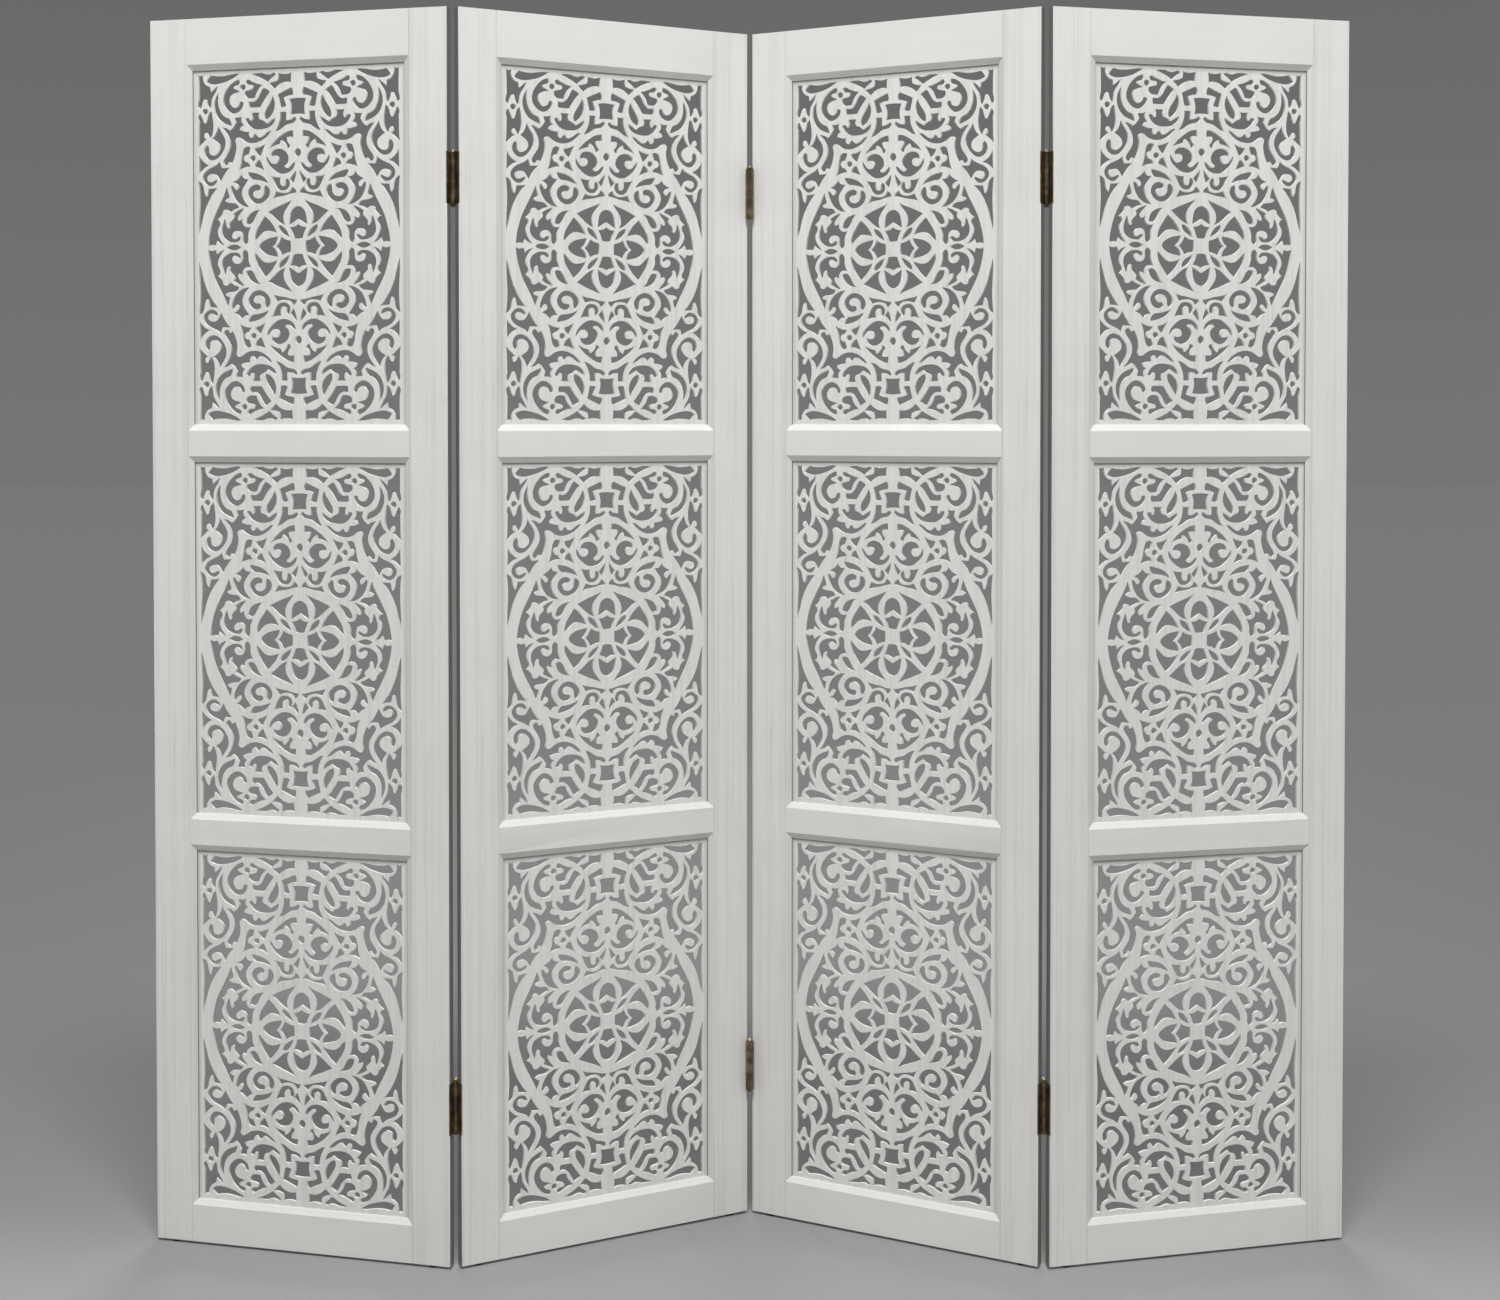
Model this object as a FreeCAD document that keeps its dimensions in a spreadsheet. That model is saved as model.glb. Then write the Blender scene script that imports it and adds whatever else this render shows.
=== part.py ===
import FreeCAD, Part

import math
import os

import Sketcher

# A four-leaf folding screen. Each leaf is a frame of two stiles and four rails round three pierced
# jali plates, and the leaves are joined at their edges by pairs of butt hinges.
# The frame: +Z is up, the viewer stands at -Y, and the origin is on the floor below the middle.

Vector = FreeCAD.Vector

sizes = {
    # whole screen
    "leaf_width": 473,
    "leaf_height": 1829,
    "leaf_thick": 15,
    "inner_leaf_turn": 28.4,
    "outer_leaf_turn": 14.2,
    # frame of a leaf, with face widths measured up to the start of the bevel
    "stile_face": 58.5,
    "top_rail_face": 67.5,
    "mid_rail_face": 38,
    "bottom_rail_face": 55.5,
    "bevel_width": 9,
    "bevel_depth": 4.2,
    "seam_deep": 0.5,
    "edge_round": 1.2,
    # grooves and what sits in them
    "plate_thick": 4,
    "groove_deep": 8,
    "groove_play": 0.1,
    "plate_play": 0.7,
    "tenon_play": 0.3,
    # feet
    "glide_radius": 6,
    "glide_high": 4,
    "glide_round": 1,
    # hinges
    "edge_gap": 1,
    "hinge_high": 75,
    "hinge_from_top": 245,
    "hinge_from_bottom": 230,
    "pin_offset": 6.6,
    "knuckle_radius": 6.2,
    "knuckle_gap": 0.3,
    "knuckle_clearance": 0.3,
    "pin_radius": 3,
    "pin_clearance": 0.05,
    "tip_radius": 5,
    "tip_high": 4,
    "tip_round": 3.4,
    "tip_gap": 0.2,
    "flap_thick": 1.6,
    "flap_setback": 0.3,
    "flap_gap": 0.5,
    "mortise_play": 0.1,
    "pilot_spare": 0.1,
    # hinge screws
    "screw_radius": 1.5,
    "screw_head_radius": 2.8,
    "screw_long": 18,
    "screw_point": 3,
    "screw_play": 0.05,
    "screw_spacing": 26,
    # how far a cut runs past the wood
    "overrun": 3,
}

knuckle_count = 5
closeness = 1e-6
paper_half_shares = (169, 263)

# The fret's openings, in squares of the drawing paper from the plate's middle: right, then up.
# An opening is a ring of runs. A run starts at a corner and flows to the next run's corner.
# Those of the first table come four times, mirrored both ways, and the round ones likewise.
# Those on the upright middle line come twice, above and below, and those on the waist line twice.
quarter_shares = {
    "medallion_diamond": [
        [(13.5, 12.3), (18.2, 23), (23.5, 28.7)],
        [(31.4, 31.5), (28.7, 22.4), (24, 18.3)],
    ],
    "medallion_kite": [
        [(9.8, 68.8), (19.8, 63.8), (29.3, 60.3), (38.4, 56.3)],
        [(49, 51.1), (41.6, 45.3), (34.6, 38.8)],
        [(20.2, 31.7), (23.6, 42), (21.2, 51.6), (15.8, 59.4)],
    ],
    "medallion_sail": [
        [(33.5, 19.4), (44.2, 23.1), (53.7, 22.7), (61.4, 16.9)],
        [(69.5, 8.6), (69.4, 17.2), (61.8, 33.5)],
        [(53.7, 45.3), (46.4, 39.1), (39.3, 30.5)],
    ],
    "medallion_slip": [
        [(59.7, 54.5), (70.3, 53.3), (79.2, 47.6), (83.4, 39.2)],
        [(84, 35.4), (74.5, 35.3), (68.7, 44.1)],
    ],
    "scroll_ring": [
        [(52.4, 90.6), (46.7, 86.5), (45.1, 80), (48.3, 72), (55.1, 66.2), (63.5, 63.9), (71.4, 65.5),
         (77.7, 71), (80.7, 78.4), (78.2, 87), (71.3, 91.9)],
        [(60.1, 89.4), (62.7, 83.6), (68.3, 83.1), (72.1, 79.3), (70.8, 74.6), (65.4, 71.7), (59, 73.3),
         (54.9, 78.7), (54.4, 85.1)],
    ],
    "ring_hollow": [
        [(78.6, 59.5), (90.4, 61.7), (99.7, 68.4), (104.8, 76.6), (107.4, 83.8)],
        [(107.8, 91.5), (101.8, 87.1), (99.1, 84.9), (96.8, 86.9), (96.4, 90.7), (99.5, 94.2)],
        [(105.4, 97), (97.5, 100.7)],
        [(90.7, 108.5), (88.3, 103.1)],
        [(79.1, 101.4), (85.3, 92), (90.1, 82.8), (89.2, 73.8), (84.8, 66.1)],
    ],
    "crown_sliver": [
        [(2.4, 78.6), (4.8, 84.1)],
        [(10.2, 87.1), (13.6, 81.2), (21.1, 78.7)],
        [(35, 81.8), (37.8, 76)],
        [(41.4, 69.6), (31.8, 73.1), (21.8, 74.6), (12.8, 77.1)],
    ],
    "bud_cup": [
        [(17, 100.1), (12.9, 92.5), (15.3, 85.9), (23.4, 82.4), (31.5, 84.2), (36.3, 90.1)],
        [(43.6, 104.4), (35.8, 102.2)],
        [(27.8, 102), (28.6, 95.1), (26.8, 90.1), (23.1, 88.6), (20.3, 90.9), (19.9, 95.1)],
    ],
    "leaf_garden": [
        [(75.9, 30.5), (80.6, 29.4), (83.7, 29.7), (87.8, 32.6)],
        [(89, 42.1)],
        [(95.9, 39), (97.1, 42), (95.3, 47)],
        [(87.4, 58), (96.4, 54.8)],
        [(104.8, 49.7), (103.3, 47.1), (103.1, 45), (105.6, 41.2), (109.7, 37)],
        [(110.5, 31), (112.7, 28.3), (115.2, 31.4), (116.3, 36.1)],
        [(118.6, 42.5), (121.7, 34.3), (123.7, 25), (121.8, 16.6), (114.9, 10.2), (104, 7.4), (95.4, 9.3)],
        [(92.8, 15.2), (98.4, 14.6), (103, 12.4), (106.2, 14.9), (105.7, 20.1), (100.7, 24.1),
         (94.9, 23.9), (90.3, 19.2), (89.7, 9.9)],
        [(85.6, 3.5), (80.6, 8.7), (80.1, 19.9), (78.5, 24.6)],
    ],
    "band_vine": [
        [(145.8, 2.2), (144.9, 13.1), (141.9, 27.2), (137.3, 42.3), (127.8, 61.9), (119.8, 77.4)],
        [(115, 89.5), (112.1, 81.2)],
        [(110.4, 73.8), (114.6, 72.2), (117.6, 69.6), (115.5, 67.6), (107.9, 65.9)],
        [(95.4, 58.4), (103.6, 55.7)],
        [(109.6, 51.7), (113.5, 55.2), (117, 56.4), (120.8, 54.4)],
        [(121.5, 50.8), (126.4, 44.9)],
        [(130.5, 41.8), (126.7, 39), (125.6, 35.5), (129.2, 27.6), (129.6, 20.2), (126.2, 12.5)],
        [(119.2, 3.2), (126.5, 5.7)],
        [(131.2, 10)],
        [(133.5, 2.7), (138.6, 4.4)],
    ],
    "side_spear": [
        [(129.7, 89.2), (138.1, 88.2)],
        [(144.3, 87.9), (145.9, 80.8), (147.9, 76.4), (150.2, 79.4), (152.1, 87.1)],
        [(161.5, 99.7), (159.9, 84.9), (159.4, 65), (160.4, 45.1)],
        [(160.6, 19.8), (156.1, 35.8), (151.6, 52.7), (144.2, 69.6), (137.3, 80.4)],
    ],
    "cartouche_scroll": [
        [(42.5, 132), (41.7, 139.5), (36.3, 143.2), (28.9, 143.9), (21, 140.7), (15.7, 133.8),
         (14.9, 126.3), (18.4, 120.8), (21.1, 118.3), (19.9, 116), (16.7, 115.4), (11.6, 118.6)],
        [(4.6, 123.8), (8.3, 113.4), (15.7, 108.5), (24, 106.9), (32.3, 108.5), (41.6, 114.8),
         (48.8, 123.1)],
        [(50.4, 133.5), (45.8, 127), (40.7, 122.1), (35.3, 122.1), (31.3, 126.3), (31.7, 132),
         (36.1, 134.1)],
    ],
    "cartouche_arrow": [
        [(7.7, 170.4), (17.3, 168.8), (29.5, 161.7), (37.6, 155.2)],
        [(46.5, 144), (35.7, 149.1)],
        [(28.8, 150.7)],
        [(26.9, 156.3), (23.1, 153.8)],
        [(17.8, 144.2), (13, 146)],
        [(12.7, 149.5), (17.1, 156.7)],
        [(17.2, 160.3), (13, 161.1)],
        [(7, 160.3)],
    ],
    "collar_slip": [
        [(47.4, 92.9), (55.5, 103.2), (65.7, 108.2)],
        [(80.4, 111), (77.7, 102.9)],
        [(73.2, 99.6), (63.2, 98.6)],
    ],
    "collar_barb": [[(2.6, 111.9), (4.1, 100.8)], [(7.8, 91.5)], [(13.5, 99)]],
    "flower_north_west": [[(52, 151.7), (61.3, 147.4)], [(69.9, 145.8), (65.7, 137.2)], [(60.1, 133.3)]],
    "flower_south_west": [
        [(61, 128.6), (66.2, 125.6)],
        [(69, 118.8), (61.4, 116.2)],
        [(53.3, 111.7), (57.2, 120.4)],
    ],
    "flower_east": [
        [(76, 146.2), (81, 148.7), (85.5, 147.2)],
        [(87.9, 143.2), (89.9, 136.1), (90.9, 128.1), (92.8, 120.3)],
        [(95.9, 113), (87.7, 117.2)],
        [(75.7, 119.1)],
        [(80.1, 125.4), (85.3, 127.6), (86.9, 131.2), (85.3, 134.9)],
        [(79.4, 136.4)],
    ],
    "grove": [
        [(42.2, 170.8), (53.5, 159.2), (64.8, 154.3), (76.1, 153.6), (86.5, 157.2), (92, 161.2),
         (96.4, 162.4), (100, 159.6), (99.4, 153.2), (99.4, 142.9), (102.2, 132.2)],
        [(106.6, 123.3), (109.3, 126.5)],
        [(111.3, 126.6), (112.2, 124.5)],
        [(115.4, 121.3), (120.4, 125.8), (116.2, 135), (109.9, 146.2), (109.7, 156.8), (113.3, 166.1)],
        [(122.4, 178.2), (112.5, 175.3)],
        [(109.3, 173), (105.6, 175.7), (101.8, 180.5)],
        [(99.5, 184.5), (100.7, 187.7)],
        [(101.6, 192.1), (95.2, 191.9)],
        [(88.7, 193.6), (90.6, 187.1)],
        [(86, 180.2), (91.3, 177.4)],
        [(93.1, 173.5), (86.8, 171.2)],
        [(77.7, 170.4), (78.4, 165.2)],
        [(76, 161.8), (73.1, 161.9), (71.2, 164.6)],
        [(67.5, 166.5), (65.4, 163.7)],
        [(62.3, 161.6), (58.4, 162.5), (52.5, 166.4)],
    ],
    "shoulder_boat": [
        [(36.2, 189.8), (38.8, 181.5), (46.7, 175.7), (57.9, 173.4), (70.3, 174.4), (78.6, 179.3)],
        [(84.5, 189.3), (80.3, 190.9)],
        [(77.1, 188.3), (75, 186.5)],
        [(73.2, 188.2), (72.9, 192.9)],
        [(74.8, 198.3)],
        [(60.6, 198.2), (62.4, 191.2)],
        [(60.6, 187.8), (54, 185.3)],
        [(49.8, 181.5)],
    ],
    "shoulder_slip": [
        [(40.3, 222), (36.4, 209), (39.2, 198.1), (45.5, 190.3)],
        [(52.5, 187.4), (53.7, 193), (49.3, 204.5)],
    ],
    "stem_hook": [
        [(7.8, 222.1), (7.4, 228.2)],
        [(10.2, 233.9)],
        [(32, 224)],
        [(28.1, 205.5), (22.9, 204.9)],
        [(17.9, 206.6)],
        [(22.4, 218.6), (15.8, 221.1)],
    ],
    "stem_root": [
        [(2.2, 187.1), (7.6, 181.2), (17.7, 178.7), (24.5, 174.3)],
        [(36.8, 169.2), (30.3, 181.3), (28.1, 190.1)],
        [(28, 197.9)],
        [(18, 197.9), (18.4, 190)],
        [(18.4, 185.7), (12.2, 186.2)],
        [(4.9, 190.9)],
    ],
    "stem_flag": [
        [(9.6, 255.7), (20, 253.4)],
        [(31, 255.7), (30.7, 249.1)],
        [(31.7, 245.3), (37.3, 242.9)],
        [(46.4, 241.7), (41.6, 235.9)],
        [(36.9, 231.8), (29.5, 238.2), (21.8, 241.4)],
        [(10.6, 240.8), (10.4, 247.9)],
    ],
    "top_bird": [
        [(34.1, 253.3), (38.4, 255.9)],
        [(40.3, 255.9), (45.1, 253.9), (50.8, 254.2)],
        [(57.8, 256.4), (66, 256.4)],
        [(74, 255.1), (60.4, 249.7)],
        [(47.9, 242.3), (41.9, 247.8)],
    ],
    "eye_jaw": [
        [(56, 238.9), (65.2, 228.6)],
        [(68.2, 220.3), (76, 219.4), (82.6, 221.6), (85.2, 226.4)],
        [(83.4, 230.8), (76.2, 232.2), (71.9, 234.8), (72.6, 238.4), (77.1, 239.4)],
        [(82.7, 242), (81.2, 247.3)],
        [(77.5, 246.9), (67.7, 241.8)],
    ],
    "shoulder_elbow": [
        [(44.2, 228.1), (49, 231.8)],
        [(54.2, 234.6), (58.8, 228.4), (65.1, 218.1), (69.3, 215.1)],
        [(77.4, 216), (78.9, 211)],
        [(77.6, 206.1), (68, 205.8)],
        [(59.5, 206.1), (52.8, 217)],
    ],
    "crest_ring": [
        [(93.9, 248), (102.4, 245.3), (112.2, 236.6), (118.9, 224.8), (119.7, 213.3), (114.1, 203.9),
         (103, 198.1), (92.9, 201.8)],
        [(87.1, 212.6), (90.5, 215.4)],
        [(93.4, 213.8), (96.5, 208.2), (102.3, 206.7), (107.7, 211), (109.9, 218), (107.8, 223.9),
         (102.2, 227.5), (98, 228.6)],
        [(92.8, 230.6), (97.2, 232.2), (100.5, 233.8), (103.1, 236), (101.1, 238.2), (95.6, 240)],
    ],
    "crest_moon": [
        [(127.1, 229.9), (132.6, 221.3), (134.9, 210), (132.3, 198.1), (124, 187.3), (114.8, 182.5)],
        [(106.1, 179.3), (108.2, 187.4)],
        [(111, 191.3), (119.9, 195.7), (125.7, 204.3), (128.1, 214.1)],
    ],
    "top_wing": [
        [(93.5, 256.4), (107.7, 248.2), (121.8, 243.8), (136.1, 242.3)],
        [(147.7, 246.7), (143.7, 252.6)],
        [(140.2, 256), (129.9, 254.2), (117.1, 254.4), (106.1, 256.4)],
    ],
    "corner_pillar": [
        [(152.1, 256.7), (151.5, 246.4), (147.5, 241.2)],
        [(141.1, 238.8), (140.6, 234.3)],
        [(140, 230.7), (135.5, 234.7)],
        [(128.4, 240.6), (134.3, 227.5), (138.4, 219.8), (139.4, 211.9)],
        [(141.2, 205.5), (145.3, 210.6)],
        [(147.4, 218.3), (149.8, 220.6), (152.5, 217.6)],
        [(158.2, 206.8), (161.1, 209.6), (160.7, 217.2)],
        [(159.7, 223.9), (159.8, 240)],
        [(160.3, 256.8), (156.5, 255.4)],
    ],
    "flank_pillar": [
        [(139, 202.6), (144.8, 195.4), (146.8, 188.2), (149.5, 184.7), (152.2, 187.9)],
        [(158.7, 198.6), (160.8, 194.1)],
        [(159.7, 187.6), (160.1, 172.2), (160.4, 159.1)],
        [(161.7, 148.2), (154.1, 155.7)],
        [(147, 161.8), (150.9, 164.4), (150.9, 168.3), (148.3, 171.1), (145.8, 168.8)],
        [(142, 161.3), (136.9, 171.9), (136.4, 186.2)],
    ],
    "corner_crescent": [
        [(128.6, 180.6), (123.7, 172), (117.6, 161.3), (117.1, 150.8), (121.8, 140.5), (129.5, 132.5),
         (138, 129.8), (146, 132.3), (151.1, 140.3)],
        [(147.1, 152.7), (143.4, 146.1), (143, 140.8), (137.4, 137.1), (130.6, 139.5), (126.2, 145.7),
         (127.1, 152.6), (131.5, 157.3)],
        [(138.4, 162), (133.2, 167.5), (130.8, 172.3)],
    ],
    "side_barb": [[(143.5, 122.5), (152.9, 128.4)], [(159.6, 138.9)], [(160.3, 108.7), (152.9, 117.3)]],
    "side_scroll": [
        [(110.1, 118.6)],
        [(122.5, 117.9), (124, 121.3)],
        [(126.2, 128.5), (134.4, 121.8), (144.4, 117.3), (151.7, 111), (154.1, 103.4), (149.6, 95.3),
         (141, 91.6), (133.4, 94.3)],
        [(130.3, 101.3), (136.4, 99.3), (142.3, 97.7), (146.2, 101.3), (145.6, 106.5), (139.9, 109.4),
         (133.4, 108.7), (129.1, 104)],
        [(125, 96.5), (119.7, 106.5)],
    ],
}
middle_shares = {
    "medallion_onion": [
        [(14.8, 30.7), (13.4, 43.1), (9.2, 54.1), (0, 58.7), (-9.2, 54.1), (-13.4, 43.1)],
        [(-14.8, 30.7)],
        [(0, 39.9)],
    ],
    "medallion_bell": [
        [(13.6, 28), (9.3, 18.7)],
        [(7.2, 12.1), (0, 11.1)],
        [(-7.2, 12.1), (-9.3, 18.7)],
        [(-13.6, 28), (-5.3, 29.3)],
        [(0, 32.7), (5.3, 29.3)],
    ],
    "cartouche_seed": [[(0, 143.9), (5.1, 137.8)], [(0, 131.6), (-5.1, 137.8)]],
    "stem_window": [
        [(13.6, 216.5), (10.6, 204.5)],
        [(11.9, 193.3), (0, 194.3)],
        [(-11.9, 193.3), (-10.6, 204.5)],
        [(-13.6, 216.5), (0, 217.7)],
    ],
}
waist_shares = {
    "medallion_ladle": [
        [(35.8, 0), (30.3, 6.5)],
        [(27, 14), (18.7, 9.6)],
        [(12.2, 8.3), (11.6, 0)],
        [(12.2, -8.3), (18.7, -9.6)],
        [(27, -14), (30.3, -6.5)],
    ],
    "medallion_fan": [
        [(32.5, 15.1), (44.2, 13.1), (56.5, 8.2), (62.7, 0), (56.5, -8.2), (44.2, -13.1)],
        [(32.5, -15.1), (36.3, -4.5)],
        [(41, 0), (36.3, 4.5)],
    ],
    "waist_seed": [[(92, 0), (100.9, 4.2)], [(115.5, 0), (100.9, -4.2)]],
}
round_hole_shares = {
    "flower_eye": (72.3, 131.2, 4.4),
    "crest_eye": (87.8, 236.4, 4.4),
    "corner_eye": (149.6, 202.7, 4.4),
}

doc = FreeCAD.newDocument("jali_screen")
sheet = doc.addObject("Spreadsheet::Sheet", "Sizes")
for row, (name, size) in enumerate(sizes.items(), start=1):
    sheet.set(f"A{row}", name)
    sheet.set(f"B{row}", str(size))
    sheet.setAlias(f"B{row}", name)
doc.recompute()


class Size:
    """A length or angle that knows its number and the formula that gives it."""

    def __init__(self, number, formula):
        self.number = number
        self.formula = formula

    def __add__(self, other):
        return Size(self.number + other.number, f"({self.formula} + {other.formula})")

    def __sub__(self, other):
        return Size(self.number - other.number, f"({self.formula} - {other.formula})")

    def __mul__(self, other):
        if isinstance(other, Size):
            return Size(self.number * other.number, f"({self.formula} * {other.formula})")
        return Size(self.number * other, f"({self.formula} * {other})")

    def __truediv__(self, other):
        if isinstance(other, Size):
            return Size(self.number / other.number, f"({self.formula} / {other.formula})")
        return Size(self.number / other, f"({self.formula} / {other})")

    def __neg__(self):
        return self * -1


def cell(name):
    return Size(float(sheet.get(name)), f"Sizes.{name}")


def sine(angle):
    return Size(math.sin(math.radians(angle.number)), f"sin({angle.formula})")


def cosine(angle):
    return Size(math.cos(math.radians(angle.number)), f"cos({angle.formula})")


nothing = Size(0.0, "0")

leaf_width = cell("leaf_width")
leaf_height = cell("leaf_height")
leaf_thick = cell("leaf_thick")
stile_face = cell("stile_face")
top_rail_face = cell("top_rail_face")
mid_rail_face = cell("mid_rail_face")
bottom_rail_face = cell("bottom_rail_face")
bevel_width = cell("bevel_width")
bevel_depth = cell("bevel_depth")
plate_thick = cell("plate_thick")
groove_deep = cell("groove_deep")
plate_play = cell("plate_play")
glide_high = cell("glide_high")
edge_gap = cell("edge_gap")
hinge_high = cell("hinge_high")
pin_offset = cell("pin_offset")
pin_radius = cell("pin_radius")
knuckle_radius = cell("knuckle_radius")
knuckle_gap = cell("knuckle_gap")
flap_thick = cell("flap_thick")
flap_width = leaf_thick - cell("flap_setback")
flap_gap = cell("flap_gap")
screw_radius = cell("screw_radius")
screw_play = cell("screw_play")
screw_head_radius = cell("screw_head_radius")
screw_long = cell("screw_long")
screw_spacing = cell("screw_spacing")
mortise_play = cell("mortise_play")
seam_deep = cell("seam_deep")
tip_gap = cell("tip_gap")
overrun = cell("overrun")

# Across a leaf, from its middle line.
leaf_half = leaf_width / 2
face_half = leaf_thick / 2
arris_half = leaf_half - stile_face
sight_half = arris_half - bevel_width
lip_half = face_half - bevel_depth
groove_half = plate_thick / 2 + cell("groove_play")
tenon_half = plate_thick / 2

# Up a leaf, from the floor.
leaf_low = glide_high
leaf_top = leaf_low + leaf_height
opening_high = (leaf_height - top_rail_face - bottom_rail_face - mid_rail_face * 2) / 3
storey = opening_high + mid_rail_face
first_opening = leaf_low + bottom_rail_face
hinge_levels = {
    "lower": leaf_low + cell("hinge_from_bottom"),
    "upper": leaf_top - cell("hinge_from_top"),
}


def origin_plane(body, role):
    return next(feature for feature in body.Origin.OriginFeatures if feature.Role == role)


def add_body(name):
    body = doc.addObject("PartDesign::Body", name)
    body.Label = name
    return body


def add_sketch(body, name, plane, lift=nothing):
    """An empty sketch on one of the body's own origin planes, lifted along the plane's normal."""
    sketch = body.newObject("Sketcher::SketchObject", name)
    sketch.AttachmentSupport = (origin_plane(body, plane), [""])
    sketch.MapMode = "FlatFace"
    sketch.setExpression("AttachmentOffset.Base.z", lift.formula)
    return sketch


def bind(sketch, kind, elements, size):
    """Add a dimension to the sketch and tie it to the size's formula."""
    index = sketch.addConstraint(Sketcher.Constraint(kind, *elements, size.number))
    sketch.setExpression(f"Constraints[{index}]", size.formula)


def fix_point(sketch, element, point, across, up):
    bind(sketch, "DistanceX", (-1, 1, element, point), across)
    bind(sketch, "DistanceY", (-1, 1, element, point), up)


def draw_polygon(sketch, corners):
    """A closed ring of straight lines through corners given as pairs of sizes."""
    first = sketch.GeometryCount
    count = len(corners)
    points = [Vector(across.number, up.number, 0) for across, up in corners]
    for index in range(count):
        sketch.addGeometry(Part.LineSegment(points[index], points[(index + 1) % count]))
    for index in range(count):
        following = (index + 1) % count
        joint = Sketcher.Constraint("Coincident", first + index, 2, first + following, 1)
        sketch.addConstraint(joint)
    for index, (across, up) in enumerate(corners):
        fix_point(sketch, first + index, 1, across, up)


def draw_circle(sketch, across, up, radius):
    centre = Vector(across.number, up.number, 0)
    element = sketch.addGeometry(Part.Circle(centre, Vector(0, 0, 1), radius.number))
    bind(sketch, "Radius", (element,), radius)
    fix_point(sketch, element, 3, across, up)


def draw_box(sketch, low_across, high_across, low_up, high_up):
    draw_polygon(
        sketch,
        [(low_across, low_up), (high_across, low_up), (high_across, high_up), (low_across, high_up)],
    )


def add_pad(body, name, sketch, length, middle=False):
    pad = body.newObject("PartDesign::Pad", name)
    pad.Profile = sketch
    if middle:
        pad.SideType = "Symmetric"
    pad.setExpression("Length", length.formula)
    body.Tip = pad
    return pad


def add_pocket(body, name, sketch, length, backwards=False):
    """A cut that must take something away."""
    before = body.Tip.Shape.Volume
    pocket = body.newObject("PartDesign::Pocket", name)
    pocket.Profile = sketch
    pocket.Reversed = backwards
    pocket.setExpression("Length", length.formula)
    body.Tip = pocket
    doc.recompute()
    if not pocket.Shape.Volume < before:
        raise RuntimeError(f"{body.Label}: {name} cuts nothing")
    return pocket


def edges_where(shape, test):
    return [f"Edge{index}" for index, edge in enumerate(shape.Edges, start=1) if test(edge)]


def add_fillet(body, name, radius, test):
    base = body.Tip
    fillet = body.newObject("PartDesign::Fillet", name)
    fillet.Base = (base, edges_where(base.Shape, test))
    fillet.setExpression("Radius", radius.formula)
    body.Tip = fillet
    return fillet


def place(part, across, out, up, turn, flip=""):
    """Put a part at a place of the screen, turned about the upright, after any flip of its own."""
    spin = f"rotationz({turn.formula}){flip}"
    spot = f"vector({across.formula}; {out.formula}; {up.formula})"
    part.setExpression("Placement", f"placement({spot}; {spin})")


# Where each leaf stands: its middle, seen from above, and its turn from left-to-right.
class Leaf:
    def __init__(self, name, turn):
        self.name = name
        self.turn = turn
        self.across = nothing
        self.out = nothing

    def shift(self, along, through):
        """The place reached from the leaf's middle by going along its width and its thickness."""
        across = self.across + along * cosine(self.turn) - through * sine(self.turn)
        out = self.out + along * sine(self.turn) + through * cosine(self.turn)
        return across, out

    def hang_from(self, pin, along, through):
        """Set the middle so that the pin lies at this place of the leaf."""
        self.across = pin[0] - along * cosine(self.turn) + through * sine(self.turn)
        self.out = pin[1] - along * sine(self.turn) - through * cosine(self.turn)


pin_along = leaf_half + edge_gap / 2
pin_through = face_half + pin_offset
inner_turn = cell("inner_leaf_turn")
outer_turn = cell("outer_leaf_turn")

leaf_1 = Leaf("leaf_1", -outer_turn)
leaf_2 = Leaf("leaf_2", inner_turn)
leaf_3 = Leaf("leaf_3", -inner_turn)
leaf_4 = Leaf("leaf_4", outer_turn)
leaves = [leaf_1, leaf_2, leaf_3, leaf_4]

# Seen from above, the middle pin is furthest back, and the outer pins are furthest forward.
# The middle pin's distance behind the origin puts the origin half way between front and back.
outer_pin_step = pin_along * sine(inner_turn) * 2 - pin_through * cosine(inner_turn) * 2
front_reach = outer_pin_step - edge_gap / 2 * sine(outer_turn) + (face_half + pin_through) * cosine(outer_turn)
back_reach = (face_half + pin_through) * cosine(inner_turn) - edge_gap / 2 * sine(inner_turn)
middle_pin = (nothing, (front_reach - back_reach) / 2)
leaf_2.hang_from(middle_pin, pin_along, -pin_through)
leaf_3.hang_from(middle_pin, -pin_along, -pin_through)
left_pin = leaf_2.shift(-pin_along, pin_through)
right_pin = leaf_3.shift(pin_along, pin_through)
leaf_1.hang_from(left_pin, pin_along, pin_through)
leaf_4.hang_from(right_pin, -pin_along, pin_through)

# Each hinged edge: the leaf, its side (+1 right, -1 left) and the face with the knuckles
# (+1 back, -1 front). The first edge of a junction carries the outer knuckles.
junctions = {
    "left": (left_pin, (leaf_1, 1), (leaf_2, -1), 1),
    "middle": (middle_pin, (leaf_2, 1), (leaf_3, -1), -1),
    "right": (right_pin, (leaf_3, 1), (leaf_4, -1), 1),
}
hinged_edges = {}
for pin, first_edge, second_edge, knuckle_face in junctions.values():
    for leaf, side in (first_edge, second_edge):
        hinged_edges[leaf.name, side] = knuckle_face

mortise_deep = flap_thick - (edge_gap - flap_gap) / 2


def is_outer_arris(edge, along):
    """An upright edge of a stile's outer corners."""
    box = edge.BoundBox
    return abs(box.XMin - along.number) < closeness and box.XLength < closeness and box.YLength < closeness


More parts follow.
